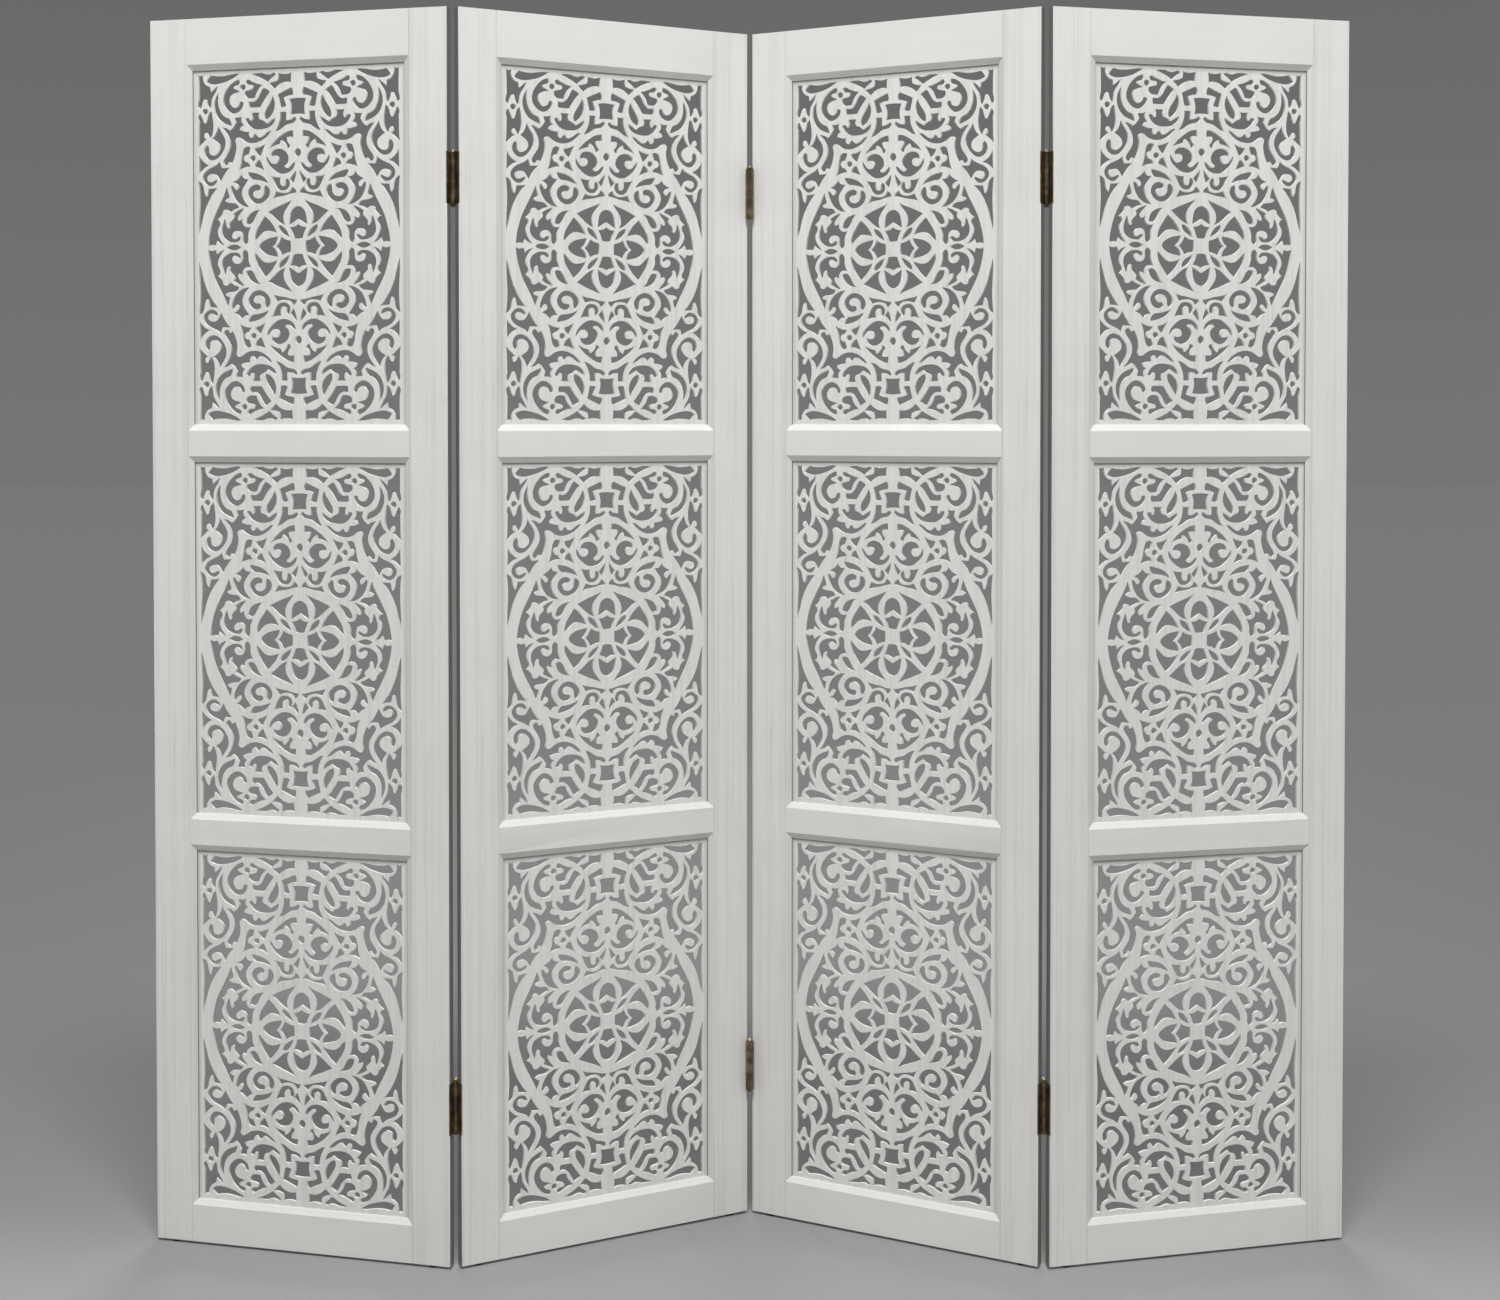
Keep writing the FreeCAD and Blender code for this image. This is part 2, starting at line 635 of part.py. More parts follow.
def make_stile(leaf, side):
    """An upright of a leaf's frame, with a bevel and a groove along its inner edge."""
    name = f"{leaf.name}_stile_{'right' if side > 0 else 'left'}"
    body = add_body(name)
    outline = add_sketch(body, f"{name}_outline", "XY_Plane", leaf_low)
    ring = [
        (leaf_half, -face_half),
        (leaf_half, face_half),
        (arris_half, face_half),
        (sight_half, lip_half),
        (sight_half, groove_half),
        (sight_half + groove_deep, groove_half),
        (sight_half + groove_deep, -groove_half),
        (sight_half, -groove_half),
        (sight_half, -lip_half),
        (arris_half, -face_half),
    ]
    draw_polygon(outline, [(across * side, out) for across, out in ring])
    add_pad(body, f"{name}_length", outline, leaf_height)
    doc.recompute()
    outer = leaf_half * side
    add_fillet(body, f"{name}_round", cell("edge_round"), lambda edge: is_outer_arris(edge, outer))
    knuckle_face = hinged_edges.get((leaf.name, side))
    if knuckle_face:
        cut_mortises(body, name, outer, side, knuckle_face)
    place(body, leaf.across, leaf.out, nothing, leaf.turn)
    return body


def cut_mortises(body, name, outer, side, knuckle_face):
    """Shallow seats for the hinge flaps in a stile's edge, with the screws' pilot holes."""
    doc.recompute()
    seats = add_sketch(body, f"{name}_seats", "YZ_Plane", outer)
    pilots = add_sketch(body, f"{name}_pilots", "YZ_Plane", outer)
    mouth = face_half + overrun
    half = hinge_high / 2 + mortise_play
    screw_line = (face_half - flap_width / 2) * knuckle_face
    for level in hinge_levels.values():
        draw_box(seats, -mouth, mouth, level - half, level + half)
        for step in (-1, 0, 1):
            up = level + screw_spacing * step
            draw_circle(pilots, screw_line, up, screw_radius + screw_play)
    add_pocket(body, f"{name}_mortises", seats, mortise_deep, backwards=side < 0)
    hole_deep = screw_long + cell("pilot_spare")
    add_pocket(body, f"{name}_pilot_holes", pilots, hole_deep, backwards=side < 0)


def rail_edge(level, way):
    """The bevel, lips and groove along one edge of a rail, from front to back."""
    sight = level + bevel_width * way
    floor = sight - groove_deep * way
    return [
        (-face_half, level),
        (-lip_half, sight),
        (-groove_half, sight),
        (-groove_half, floor),
        (groove_half, floor),
        (groove_half, sight),
        (lip_half, sight),
        (face_half, level),
    ]


def make_rail(leaf, kind, low, high, low_beveled, high_beveled):
    """A rail between the stiles, with its ends coped over their bevels and tenoned in their grooves."""
    name = f"{leaf.name}_{kind}"
    body = add_body(name)
    section = add_sketch(body, f"{name}_section", "YZ_Plane")
    lower = rail_edge(low, -1) if low_beveled else [(-face_half, low), (face_half, low)]
    upper = rail_edge(high, 1) if high_beveled else [(-face_half, high), (face_half, high)]
    draw_polygon(section, lower + upper[::-1])
    tip = sight_half + groove_deep - cell("tenon_play")
    add_pad(body, f"{name}_length", section, tip * 2, middle=True)
    doc.recompute()
    coping = add_sketch(body, f"{name}_coping", "XY_Plane")
    far_along = arris_half + overrun
    far_through = face_half + overrun
    # the shoulder stands back from the stile's arris by a fine open seam
    seam_along = arris_half - seam_deep * bevel_width / bevel_depth
    for side in (-1, 1):
        for face in (-1, 1):
            ring = [
                (sight_half, tenon_half),
                (sight_half, lip_half),
                (seam_along, face_half - seam_deep),
                (seam_along - seam_deep, face_half),
                (seam_along - seam_deep, far_through),
                (far_along, far_through),
                (far_along, tenon_half),
            ]
            draw_polygon(coping, [(along * side, through * face) for along, through in ring])
    add_pocket(body, f"{name}_cope", coping, leaf_top + overrun, backwards=True)
    place(body, leaf.across, leaf.out, nothing, leaf.turn)
    return body


def step_sums(points):
    return sum(a.x * b.y - a.y * b.x for a, b in zip(points, points[1:] + points[:1]))


def curve_through(points):
    """One edge from the first point to the last: a line, an arc or a smooth curve."""
    if len(points) == 2:
        return Part.makeLine(*points)
    if len(points) == 3:
        return Part.Arc(*points).toShape()
    curve = Part.BSplineCurve()
    curve.interpolate(points)
    return curve.toShape()


def opening_wire(runs, across_scale, up_scale):
    """The closed outline of an opening, turned clockwise so that it bounds a hole."""
    rings = [[Vector(x * across_scale, y * up_scale, 0) for x, y in run] for run in runs]
    edges = []
    for index, run in enumerate(rings):
        edges.append(curve_through(run + [rings[(index + 1) % len(rings)][0]]))
    wire = Part.Wire(edges)
    if step_sums([point for run in rings for point in run]) > 0:
        wire.reverse()
    return wire


def round_wire(centre, radius):
    wire = Part.Wire([Part.Circle(centre, Vector(0, 0, 1), radius).toShape()])
    wire.reverse()
    return wire


def fret_face():
    """A plate's flat face with every opening of the fret, centred on what shows in the frame."""
    sight_high = opening_high.number - bevel_width.number * 2
    across_scale = sight_half.number / paper_half_shares[0]
    up_scale = sight_high / 2 / paper_half_shares[1]
    half = sight_half.number + groove_deep.number - plate_play.number
    low = -sight_high / 2 - groove_deep.number
    high = sight_high / 2 + groove_deep.number - plate_play.number
    corners = [(-half, low), (half, low), (half, high), (-half, high), (-half, low)]
    wires = [Part.makePolygon([Vector(x, y, 0) for x, y in corners])]
    for right in (1, -1):
        for up in (1, -1):
            for runs in quarter_shares.values():
                wires.append(opening_wire(runs, across_scale * right, up_scale * up))
            for x, y, radius in round_hole_shares.values():
                centre = Vector(x * across_scale * right, y * up_scale * up, 0)
                wires.append(round_wire(centre, radius * min(across_scale, up_scale)))
        for runs in middle_shares.values():
            wires.append(opening_wire(runs, across_scale, up_scale * right))
        for runs in waist_shares.values():
            wires.append(opening_wire(runs, across_scale * right, up_scale))
    return Part.Face(wires)


fret = doc.addObject("Part::Feature", "fret_face")
fret.Shape = fret_face()
fret_blank = doc.addObject("Part::Extrusion", "fret_blank")
fret_blank.Base = fret
fret_blank.DirMode = "Normal"
fret_blank.Solid = True
fret_blank.Symmetric = True
fret_blank.setExpression("LengthFwd", plate_thick.formula)
doc.recompute()


def make_plate(leaf, kind, floor):
    """A pierced plate standing in the grooves of the frame, over the bevel that starts at floor."""
    plate = doc.addObject("Part::Feature", f"{leaf.name}_{kind}")
    plate.Shape = fret_blank.Shape
    middle = floor + opening_high / 2
    place(plate, leaf.across, leaf.out, middle, leaf.turn, " * rotationx(90)")
    return plate


def make_flap(name, knuckles, leaf, side, knuckle_face, pin, level):
    """One half of a butt hinge, drawn round its pin for an edge on the pin's right, knuckles in front."""
    body = add_body(name)
    inner = flap_gap / 2
    outer = inner + flap_thick
    near = knuckle_radius + cell("knuckle_clearance")
    far = pin_offset + flap_width
    pitch = hinge_high / knuckle_count
    outline = add_sketch(body, f"{name}_outline", "XY_Plane")
    draw_box(outline, inner, outer, near, far)
    add_pad(body, f"{name}_flap", outline, hinge_high, middle=True)
    for index in knuckles:
        low = pitch * (index - knuckle_count / 2) + knuckle_gap / 2
        barrel = add_sketch(body, f"{name}_barrel_outline_{index}", "XY_Plane", low)
        web = add_sketch(body, f"{name}_web_outline_{index}", "XY_Plane", low)
        draw_box(web, inner, outer, nothing, near + flap_thick)
        add_pad(body, f"{name}_web_{index}", web, pitch - knuckle_gap)
        draw_circle(barrel, nothing, nothing, knuckle_radius)
        add_pad(body, f"{name}_barrel_{index}", barrel, pitch - knuckle_gap)
    doc.recompute()
    bore = add_sketch(body, f"{name}_bore_outline", "XY_Plane", -hinge_high / 2)
    draw_circle(bore, nothing, nothing, pin_radius + cell("pin_clearance"))
    add_pocket(body, f"{name}_bore", bore, hinge_high, backwards=True)
    holes = add_sketch(body, f"{name}_holes_outline", "YZ_Plane", inner)
    hole_radius = screw_radius + screw_play
    for step in (-1, 0, 1):
        draw_circle(holes, pin_offset + flap_width / 2, screw_spacing * step, hole_radius)
    add_pocket(body, f"{name}_holes", holes, flap_thick, backwards=True)
    base = body.Tip
    sink = body.newObject("PartDesign::Chamfer", f"{name}_countersinks")
    rims = edges_where(
        base.Shape,
        lambda edge: edge.Length < screw_head_radius.number * math.pi * 2
        and abs(edge.BoundBox.XMin - inner.number) < closeness
        and edge.BoundBox.XLength < closeness
        and isinstance(edge.Curve, Part.Circle),
    )
    sink.Base = (base, rims)
    sink.setExpression("Size", (screw_head_radius - screw_radius).formula)
    body.Tip = sink
    # turned over, back to front or both, so that the same half suits every edge
    flips = {
        (-1, -1): "",
        (1, -1): " * rotationy(180)",
        (-1, 1): " * rotationx(180)",
        (1, 1): " * rotationz(180)",
    }
    place(body, pin[0], pin[1], level, leaf.turn, flips[side, knuckle_face])
    return body


def revolve(name, corners):
    """A body turned about the upright from a half outline given as pairs of radius and height."""
    body = add_body(name)
    profile = add_sketch(body, f"{name}_profile", "XZ_Plane")
    draw_polygon(profile, corners)
    turning = body.newObject("PartDesign::Revolution", f"{name}_turning")
    turning.Profile = profile
    turning.ReferenceAxis = (profile, ["V_Axis"])
    body.Tip = turning
    doc.recompute()
    return body


# One hinge pin, with a rounded tip at each end that holds the knuckles.
tip_radius = cell("tip_radius")
tip_high = cell("tip_high")
pin_half = hinge_high / 2 + tip_gap
pin_body = revolve(
    "hinge_pin",
    [
        (nothing, -pin_half - tip_high),
        (tip_radius, -pin_half - tip_high),
        (tip_radius, -pin_half),
        (pin_radius, -pin_half),
        (pin_radius, pin_half),
        (tip_radius, pin_half),
        (tip_radius, pin_half + tip_high),
        (nothing, pin_half + tip_high),
    ],
)
tip_levels = (-(pin_half + tip_high).number, (pin_half + tip_high).number)
add_fillet(
    pin_body,
    "hinge_pin_tips",
    cell("tip_round"),
    lambda edge: isinstance(edge.Curve, Part.Circle)
    and abs(edge.Curve.Radius - tip_radius.number) < closeness
    and min(abs(edge.Curve.Center.z - level) for level in tip_levels) < closeness,
)

# One countersunk wood screw, head up at the origin, shank down.
head_high = screw_head_radius - screw_radius
screw_body = revolve(
    "hinge_screw",
    [
        (nothing, nothing),
        (screw_head_radius - screw_play, nothing),
        (screw_radius, -head_high),
        (screw_radius, -screw_long + cell("screw_point")),
        (nothing, -screw_long),
    ],
)

# One plastic glide, which lifts a stile just off the floor.
glide_radius = cell("glide_radius")
glide_body = revolve(
    "glide",
    [(nothing, nothing), (glide_radius, nothing), (glide_radius, glide_high), (nothing, glide_high)],
)
add_fillet(
    glide_body,
    "glide_round",
    cell("glide_round"),
    lambda edge: isinstance(edge.Curve, Part.Circle) and abs(edge.Curve.Center.z) < closeness,
)
doc.recompute()


def upright(turn):
    return FreeCAD.Rotation(Vector(0, 0, 1), turn.number)


def copies(name, body, placements):
    """Several loose copies of one small body, kept together as one sub-part."""
    group = doc.addObject("Part::Feature", name)
    shapes = []
    for placement in placements:
        shape = body.Shape.copy()
        shape.Placement = placement
        shapes.append(shape)
    group.Shape = Part.makeCompound(shapes)
    return group


def make_screws(leaf):
    """The hinge screws of a leaf, driven level into the edges of its stiles."""
    placements = []
    for side in (-1, 1):
        knuckle_face = hinged_edges.get((leaf.name, side))
        if not knuckle_face:
            continue
        along = (pin_along - flap_gap / 2) * side
        through = (face_half - flap_width / 2) * knuckle_face
        across, out = leaf.shift(along, through)
        lying = FreeCAD.Rotation(Vector(0, 1, 0), 90 * side)
        for level in hinge_levels.values():
            for step in (-1, 0, 1):
                spot = Vector(across.number, out.number, (level + screw_spacing * step).number)
                placements.append(FreeCAD.Placement(spot, upright(leaf.turn) * lying))
    return copies(f"{leaf.name}_hinge_screws", screw_body, placements)


def make_glides(leaf):
    placements = []
    for side in (-1, 1):
        across, out = leaf.shift((leaf_half - stile_face / 2) * side, nothing)
        placements.append(FreeCAD.Placement(Vector(across.number, out.number, 0), upright(leaf.turn)))
    return copies(f"{leaf.name}_glides", glide_body, placements)


def make_pins(name, pin):
    placements = []
    for level in hinge_levels.values():
        spot = Vector(pin[0].number, pin[1].number, level.number)
        placements.append(FreeCAD.Placement(spot, FreeCAD.Rotation()))
    return copies(f"{name}_hinge_pins", pin_body, placements)


parts = []
for leaf in leaves:
    parts.append(make_stile(leaf, -1))
    parts.append(make_stile(leaf, 1))
    second_opening = first_opening + storey
    third_opening = second_opening + storey
    parts.append(make_rail(leaf, "rail_bottom", leaf_low, first_opening, False, True))
    parts.append(make_rail(leaf, "rail_lower", second_opening - mid_rail_face, second_opening, True, True))
    parts.append(make_rail(leaf, "rail_upper", third_opening - mid_rail_face, third_opening, True, True))
    parts.append(make_rail(leaf, "rail_top", leaf_top - top_rail_face, leaf_top, True, False))
    parts.append(make_plate(leaf, "jali_lower", first_opening))
    parts.append(make_plate(leaf, "jali_middle", second_opening))
    parts.append(make_plate(leaf, "jali_upper", third_opening))
    parts.append(make_screws(leaf))
    parts.append(make_glides(leaf))

outer_knuckles = range(0, knuckle_count, 2)
inner_knuckles = range(1, knuckle_count, 2)
for name, (pin, first_edge, second_edge, knuckle_face) in junctions.items():
    for level_name, level in hinge_levels.items():
        for edge, knuckles in ((first_edge, outer_knuckles), (second_edge, inner_knuckles)):
            leaf, side = edge
            label = f"{leaf.name}_flap_{name}_{level_name}"
            parts.append(make_flap(label, knuckles, leaf, side, knuckle_face, pin, level))
    parts.append(make_pins(name, pin))

doc.recompute()
for feature in doc.Objects:
    if "Invalid" in feature.State or "Error" in feature.State:
        raise RuntimeError(f"{feature.Label} failed: {feature.State}")
os.makedirs("parts", exist_ok=True)
for part in parts:
    if part.Shape.isNull() or not part.Shape.isValid():
        raise RuntimeError(f"{part.Label} has no valid shape")
    part.Shape.exportStep(f"parts/{part.Label}.step")
    print(part.Label, len(part.Shape.Solids), round(part.Shape.Volume))
print(len(parts), "sub-parts")
for name, (pin, *edges) in junctions.items():
    print(name, "pin at", round(pin[0].number, 3), round(pin[1].number, 3))
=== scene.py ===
"""The carved jali screen, dressed for its portrait.

Four white painted leaves stand in a zigzag on a grey paper floor. Each leaf is a bevelled wooden
frame round three fretwork plates, and pairs of aged brass butt hinges join the leaves.
"""

import logging
import math
from dataclasses import dataclass, field
from enum import Enum
from typing import Any, Union

import bmesh
import bpy
from mathutils import Matrix, Vector


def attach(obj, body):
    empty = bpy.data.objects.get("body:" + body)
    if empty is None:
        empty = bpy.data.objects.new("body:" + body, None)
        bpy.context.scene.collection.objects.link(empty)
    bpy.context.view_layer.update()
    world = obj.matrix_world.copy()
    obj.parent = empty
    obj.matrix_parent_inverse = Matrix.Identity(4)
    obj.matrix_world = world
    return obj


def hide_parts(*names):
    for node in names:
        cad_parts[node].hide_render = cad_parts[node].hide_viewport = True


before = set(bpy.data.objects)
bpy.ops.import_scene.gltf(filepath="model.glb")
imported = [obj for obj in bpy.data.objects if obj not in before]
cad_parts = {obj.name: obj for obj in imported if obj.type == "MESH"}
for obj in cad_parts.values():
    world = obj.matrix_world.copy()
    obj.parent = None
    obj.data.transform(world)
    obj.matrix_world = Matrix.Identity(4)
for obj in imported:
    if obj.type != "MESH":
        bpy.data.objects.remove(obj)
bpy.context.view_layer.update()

log = logging.getLogger("jali_screen")

Colour = tuple[float, float, float]
Place = tuple[float, float, float]
Span = tuple[float, float]
Owner = Union[bpy.types.Material, bpy.types.World]
MM = 0.001


class Member(Enum):
    """The kinds of painted piece in a leaf. Each value ends the name of its material."""

    FREE_STILE = "upright"
    HINGED_STILE = "hinged"
    RAIL = "level"
    FRET = "fret"


class Sock:
    """One output of a shader node, with arithmetic that adds the nodes that it needs."""

    def __init__(self, shader: "Shader", link: Any) -> None:
        """Wrap an output.

        Args:
            shader: The nodes that the output belongs to.
            link: The node's output socket.
        """
        self.shader = shader
        self.link = link

    def _maths(self, operation: str, first: Any, second: Any = None) -> "Sock":
        """A Math node on one or two values.

        Args:
            operation: The Math node's operation.
            first: Its first value or link.
            second: Its second value or link, if it has one.

        Returns:
            The node's result.
        """
        values = {0: first} if second is None else {0: first, 1: second}
        return self.shader.node("ShaderNodeMath", {"operation": operation}, values)

    def __add__(self, other: Any) -> "Sock":
        """The sum."""
        return self._maths("ADD", self, other)

    def __radd__(self, other: Any) -> "Sock":
        """The sum, from the right."""
        return self._maths("ADD", other, self)

    def __sub__(self, other: Any) -> "Sock":
        """The difference."""
        return self._maths("SUBTRACT", self, other)

    def __rsub__(self, other: Any) -> "Sock":
        """The difference, from the right."""
        return self._maths("SUBTRACT", other, self)

    def __mul__(self, other: Any) -> "Sock":
        """The product."""
        return self._maths("MULTIPLY", self, other)

    def __rmul__(self, other: Any) -> "Sock":
        """The product, from the right."""
        return self._maths("MULTIPLY", other, self)

    def __pow__(self, other: Any) -> "Sock":
        """The power."""
        return self._maths("POWER", self, other)

    def __abs__(self) -> "Sock":
        """The size without its sign."""
        return self._maths("ABSOLUTE", self)

    def most(self, other: Any) -> "Sock":
        """The larger of two values."""
        return self._maths("MAXIMUM", self, other)

    def ramp(self, low: float, high: float, smooth: bool = True) -> "Sock":
        """A value from 0 at one level to 1 at another.

        Args:
            low: The level that gives 0.
            high: The level that gives 1, which may be the lower of the two.
            smooth: Whether the change eases in and out.

        Returns:
            The value, kept between 0 and 1.
        """
        kind = "SMOOTHSTEP" if smooth else "LINEAR"
        values = {"Value": self, "From Min": low, "From Max": high}
        return self.shader.node("ShaderNodeMapRange", {"interpolation_type": kind}, values)

    def ramp_at(self, place: float, span: Span, smooth: bool = True) -> "Sock":
        """A ramp whose two levels are given as steps from a place.

        Args:
            place: The place.
            span: The steps to the levels that give 0 and 1.
            smooth: Whether the change eases in and out.

        Returns:
            The value, kept between 0 and 1.
        """
        return self.ramp(place + span[0], place + span[1], smooth)


class Shader:
    """The nodes of a material or world under construction."""

    MIX_INPUTS = (0, 6, 7)
    MIX_RESULT = 2

    def __init__(self, owner: Owner) -> None:
        """Start with no nodes.

        Args:
            owner: The material or world.
        """
        self.owner = owner
        owner.use_nodes = True
        self.tree = owner.node_tree
        self.tree.nodes.clear()

    def node(
        self, kind: str, settings: dict[str, Any], values: dict[Any, Any], output: Any = 0
    ) -> Sock:
        """Add a node.

        Args:
            kind: The node's type.
            settings: Its own settings, which are set first.
            values: What goes into its sockets: numbers, colours or other outputs.
            output: The output that is wanted, by name or place.

        Returns:
            The output.
        """
        made = self.tree.nodes.new(kind)
        for key, value in settings.items():
            setattr(made, key, value)
        for key, value in values.items():
            if isinstance(value, Sock):
                self.tree.links.new(value.link, made.inputs[key])
            else:
                made.inputs[key].default_value = value
        return Sock(self, made.outputs[output])

    def rest_place(self) -> Sock:
        """Places on the piece as it stands at rest, in metres."""
        return self.node("ShaderNodeTexCoord", {}, {}, "Object")

    def rays(self, *kinds: str) -> Sock:
        """1 for rays of the kinds that are named, and 0 for the others.

        Args:
            kinds: Kinds of ray, such as Camera or Glossy.

        Returns:
            The mask.
        """
        found = [self.node("ShaderNodeLightPath", {}, {}, f"Is {kind} Ray") for kind in kinds]
        mask = found[0]
        for other in found[1:]:
            mask = mask.most(other)
        return mask

    def split(self, vector: Sock) -> tuple[Sock, Sock, Sock]:
        """The three parts of a vector."""
        first = self.node("ShaderNodeSeparateXYZ", {}, {0: vector})
        outputs = first.link.node.outputs
        return Sock(self, outputs[0]), Sock(self, outputs[1]), Sock(self, outputs[2])

    def stretch(self, vector: Sock, scale: Place) -> Sock:
        """A vector with its parts scaled one by one."""
        values = {0: vector, 1: scale}
        return self.node("ShaderNodeVectorMath", {"operation": "MULTIPLY"}, values)

    def noise(self, vector: Sock, scale: float, detail: float = 2.0, rough: float = 0.5) -> Sock:
        """Cloudy noise between 0 and 1.

        Args:
            vector: Where it is read.
            scale: Cells to the unit of the vector.
            detail: How many finer layers it has.
            rough: How strong the finer layers are.

        Returns:
            The noise.
        """
        values = {"Vector": vector, "Scale": scale, "Detail": detail, "Roughness": rough}
        return self.node("ShaderNodeTexNoise", {}, values)

    def grey(self, level: Sock) -> Sock:
        """A grey of a level."""
        return self.node("ShaderNodeCombineColor", {}, {0: level, 1: level, 2: level})

    def blend(self, factor: Sock, first: Colour | Sock, second: Colour | Sock) -> Sock:
        """One colour fading into another.

        Args:
            factor: 0 for the first colour and 1 for the second.
            first: The first colour.
            second: The second colour.

        Returns:
            The blended colour.
        """
        made = self.tree.nodes.new("ShaderNodeMix")
        made.data_type = "RGBA"
        for place, value in zip(self.MIX_INPUTS, (factor, first, second)):
            socket = made.inputs[place]
            if isinstance(value, Sock):
                self.tree.links.new(value.link, socket)
            else:
                socket.default_value = (*value, 1.0)
        return Sock(self, made.outputs[self.MIX_RESULT])

    def bump(self, height: Sock, depth: float, strength: float) -> Sock:
        """A normal roughened by a height.

        Args:
            height: The height, about 0 to 1.
            depth: What a height of 1 stands for, in metres.
            strength: How much of it shows.

        Returns:
            The normal.
        """
        values = {"Strength": strength, "Distance": depth, "Height": height}
        return self.node("ShaderNodeBump", {}, values)

    def finish(self, shading: Sock) -> Owner:
        """Send the shading to the surface.

        Args:
            shading: The shader's output.

        Returns:
            The finished material or world.
        """
        is_world = isinstance(self.owner, bpy.types.World)
        out = self.tree.nodes.new("ShaderNodeOutputWorld" if is_world else "ShaderNodeOutputMaterial")
        self.tree.links.new(shading.link, out.inputs["Surface"])
        return self.owner

    def surface(self, values: dict[str, Any]) -> Owner:
        """Finish with a Principled surface.

        Args:
            values: What goes into its sockets.

        Returns:
            The finished material.
        """
        return self.finish(self.node("ShaderNodeBsdfPrincipled", {}, values))


@dataclass(frozen=True)
class Stance:
    """Where a leaf stands: its middle in plan and its turn about the upright."""

    across: float
    out: float
    turn: float

    def place(self, along: float, through: float, up: float) -> Vector:
        """A point of the leaf in the shared frame.

        Args:
            along: How far right of its middle, in metres.
            through: How far behind its middle plane.
            up: How high above the floor.

        Returns:
            The point.
        """
        cosine, sine = math.cos(self.turn), math.sin(self.turn)
        across = self.across + along * cosine - through * sine
        return Vector((across, self.out + along * sine + through * cosine, up))

    def local(self, point: Vector) -> Vector:
        """A point of the shared frame as the leaf sees it.

        Args:
            point: The point.

        Returns:
            Its distances along the leaf, through it and up.
        """
        cosine, sine = math.cos(self.turn), math.sin(self.turn)
        across, out = point.x - self.across, point.y - self.out
        return Vector((across * cosine + out * sine, out * cosine - across * sine, point.z))

    def local_place(self, shader: Shader) -> Sock:
        """Places on a piece at rest, as the leaf sees them.

        Args:
            shader: The material that reads them.

        Returns:
            The places, along the leaf, through it and up.
        """
        values = {
            "Vector": shader.rest_place(),
            "Location": (self.across, self.out, 0.0),
            "Rotation": (0.0, 0.0, self.turn),
        }
        return shader.node("ShaderNodeMapping", {"vector_type": "TEXTURE"}, values)


@dataclass(frozen=True)
class Lines:
    """Where a leaf's shaded lines lie, in metres.

    The edge, the seam where the bevel starts and the sight line, where the plate goes in, are distances
    from the leaf's middle line. The lips are the heights of the rails' undersides.
    """

    edge: float
    seam: float
    sight: float
    lips: tuple[float, ...]


@dataclass(frozen=True)
class Streaks:
    """A layer of streaks that run with the wood's grain."""

    pitch: float
    stretch: float
    detail: float
    rough: float
    span: Span
    share: float

    def noise(self, shader: Shader, spot: Sock, is_level: bool) -> Sock:
        """The noise that makes the streaks.

        Args:
            shader: The material.
            spot: Places along, through and up the leaf.
            is_level: Whether the grain runs along the leaf, and not up it.

        Returns:
            The noise.
        """
        drawn = self.pitch * self.stretch
        scale = (drawn, self.pitch, self.pitch) if is_level else (self.pitch, self.pitch, drawn)
        return shader.noise(shader.stretch(spot, scale), 1.0, self.detail, self.rough)


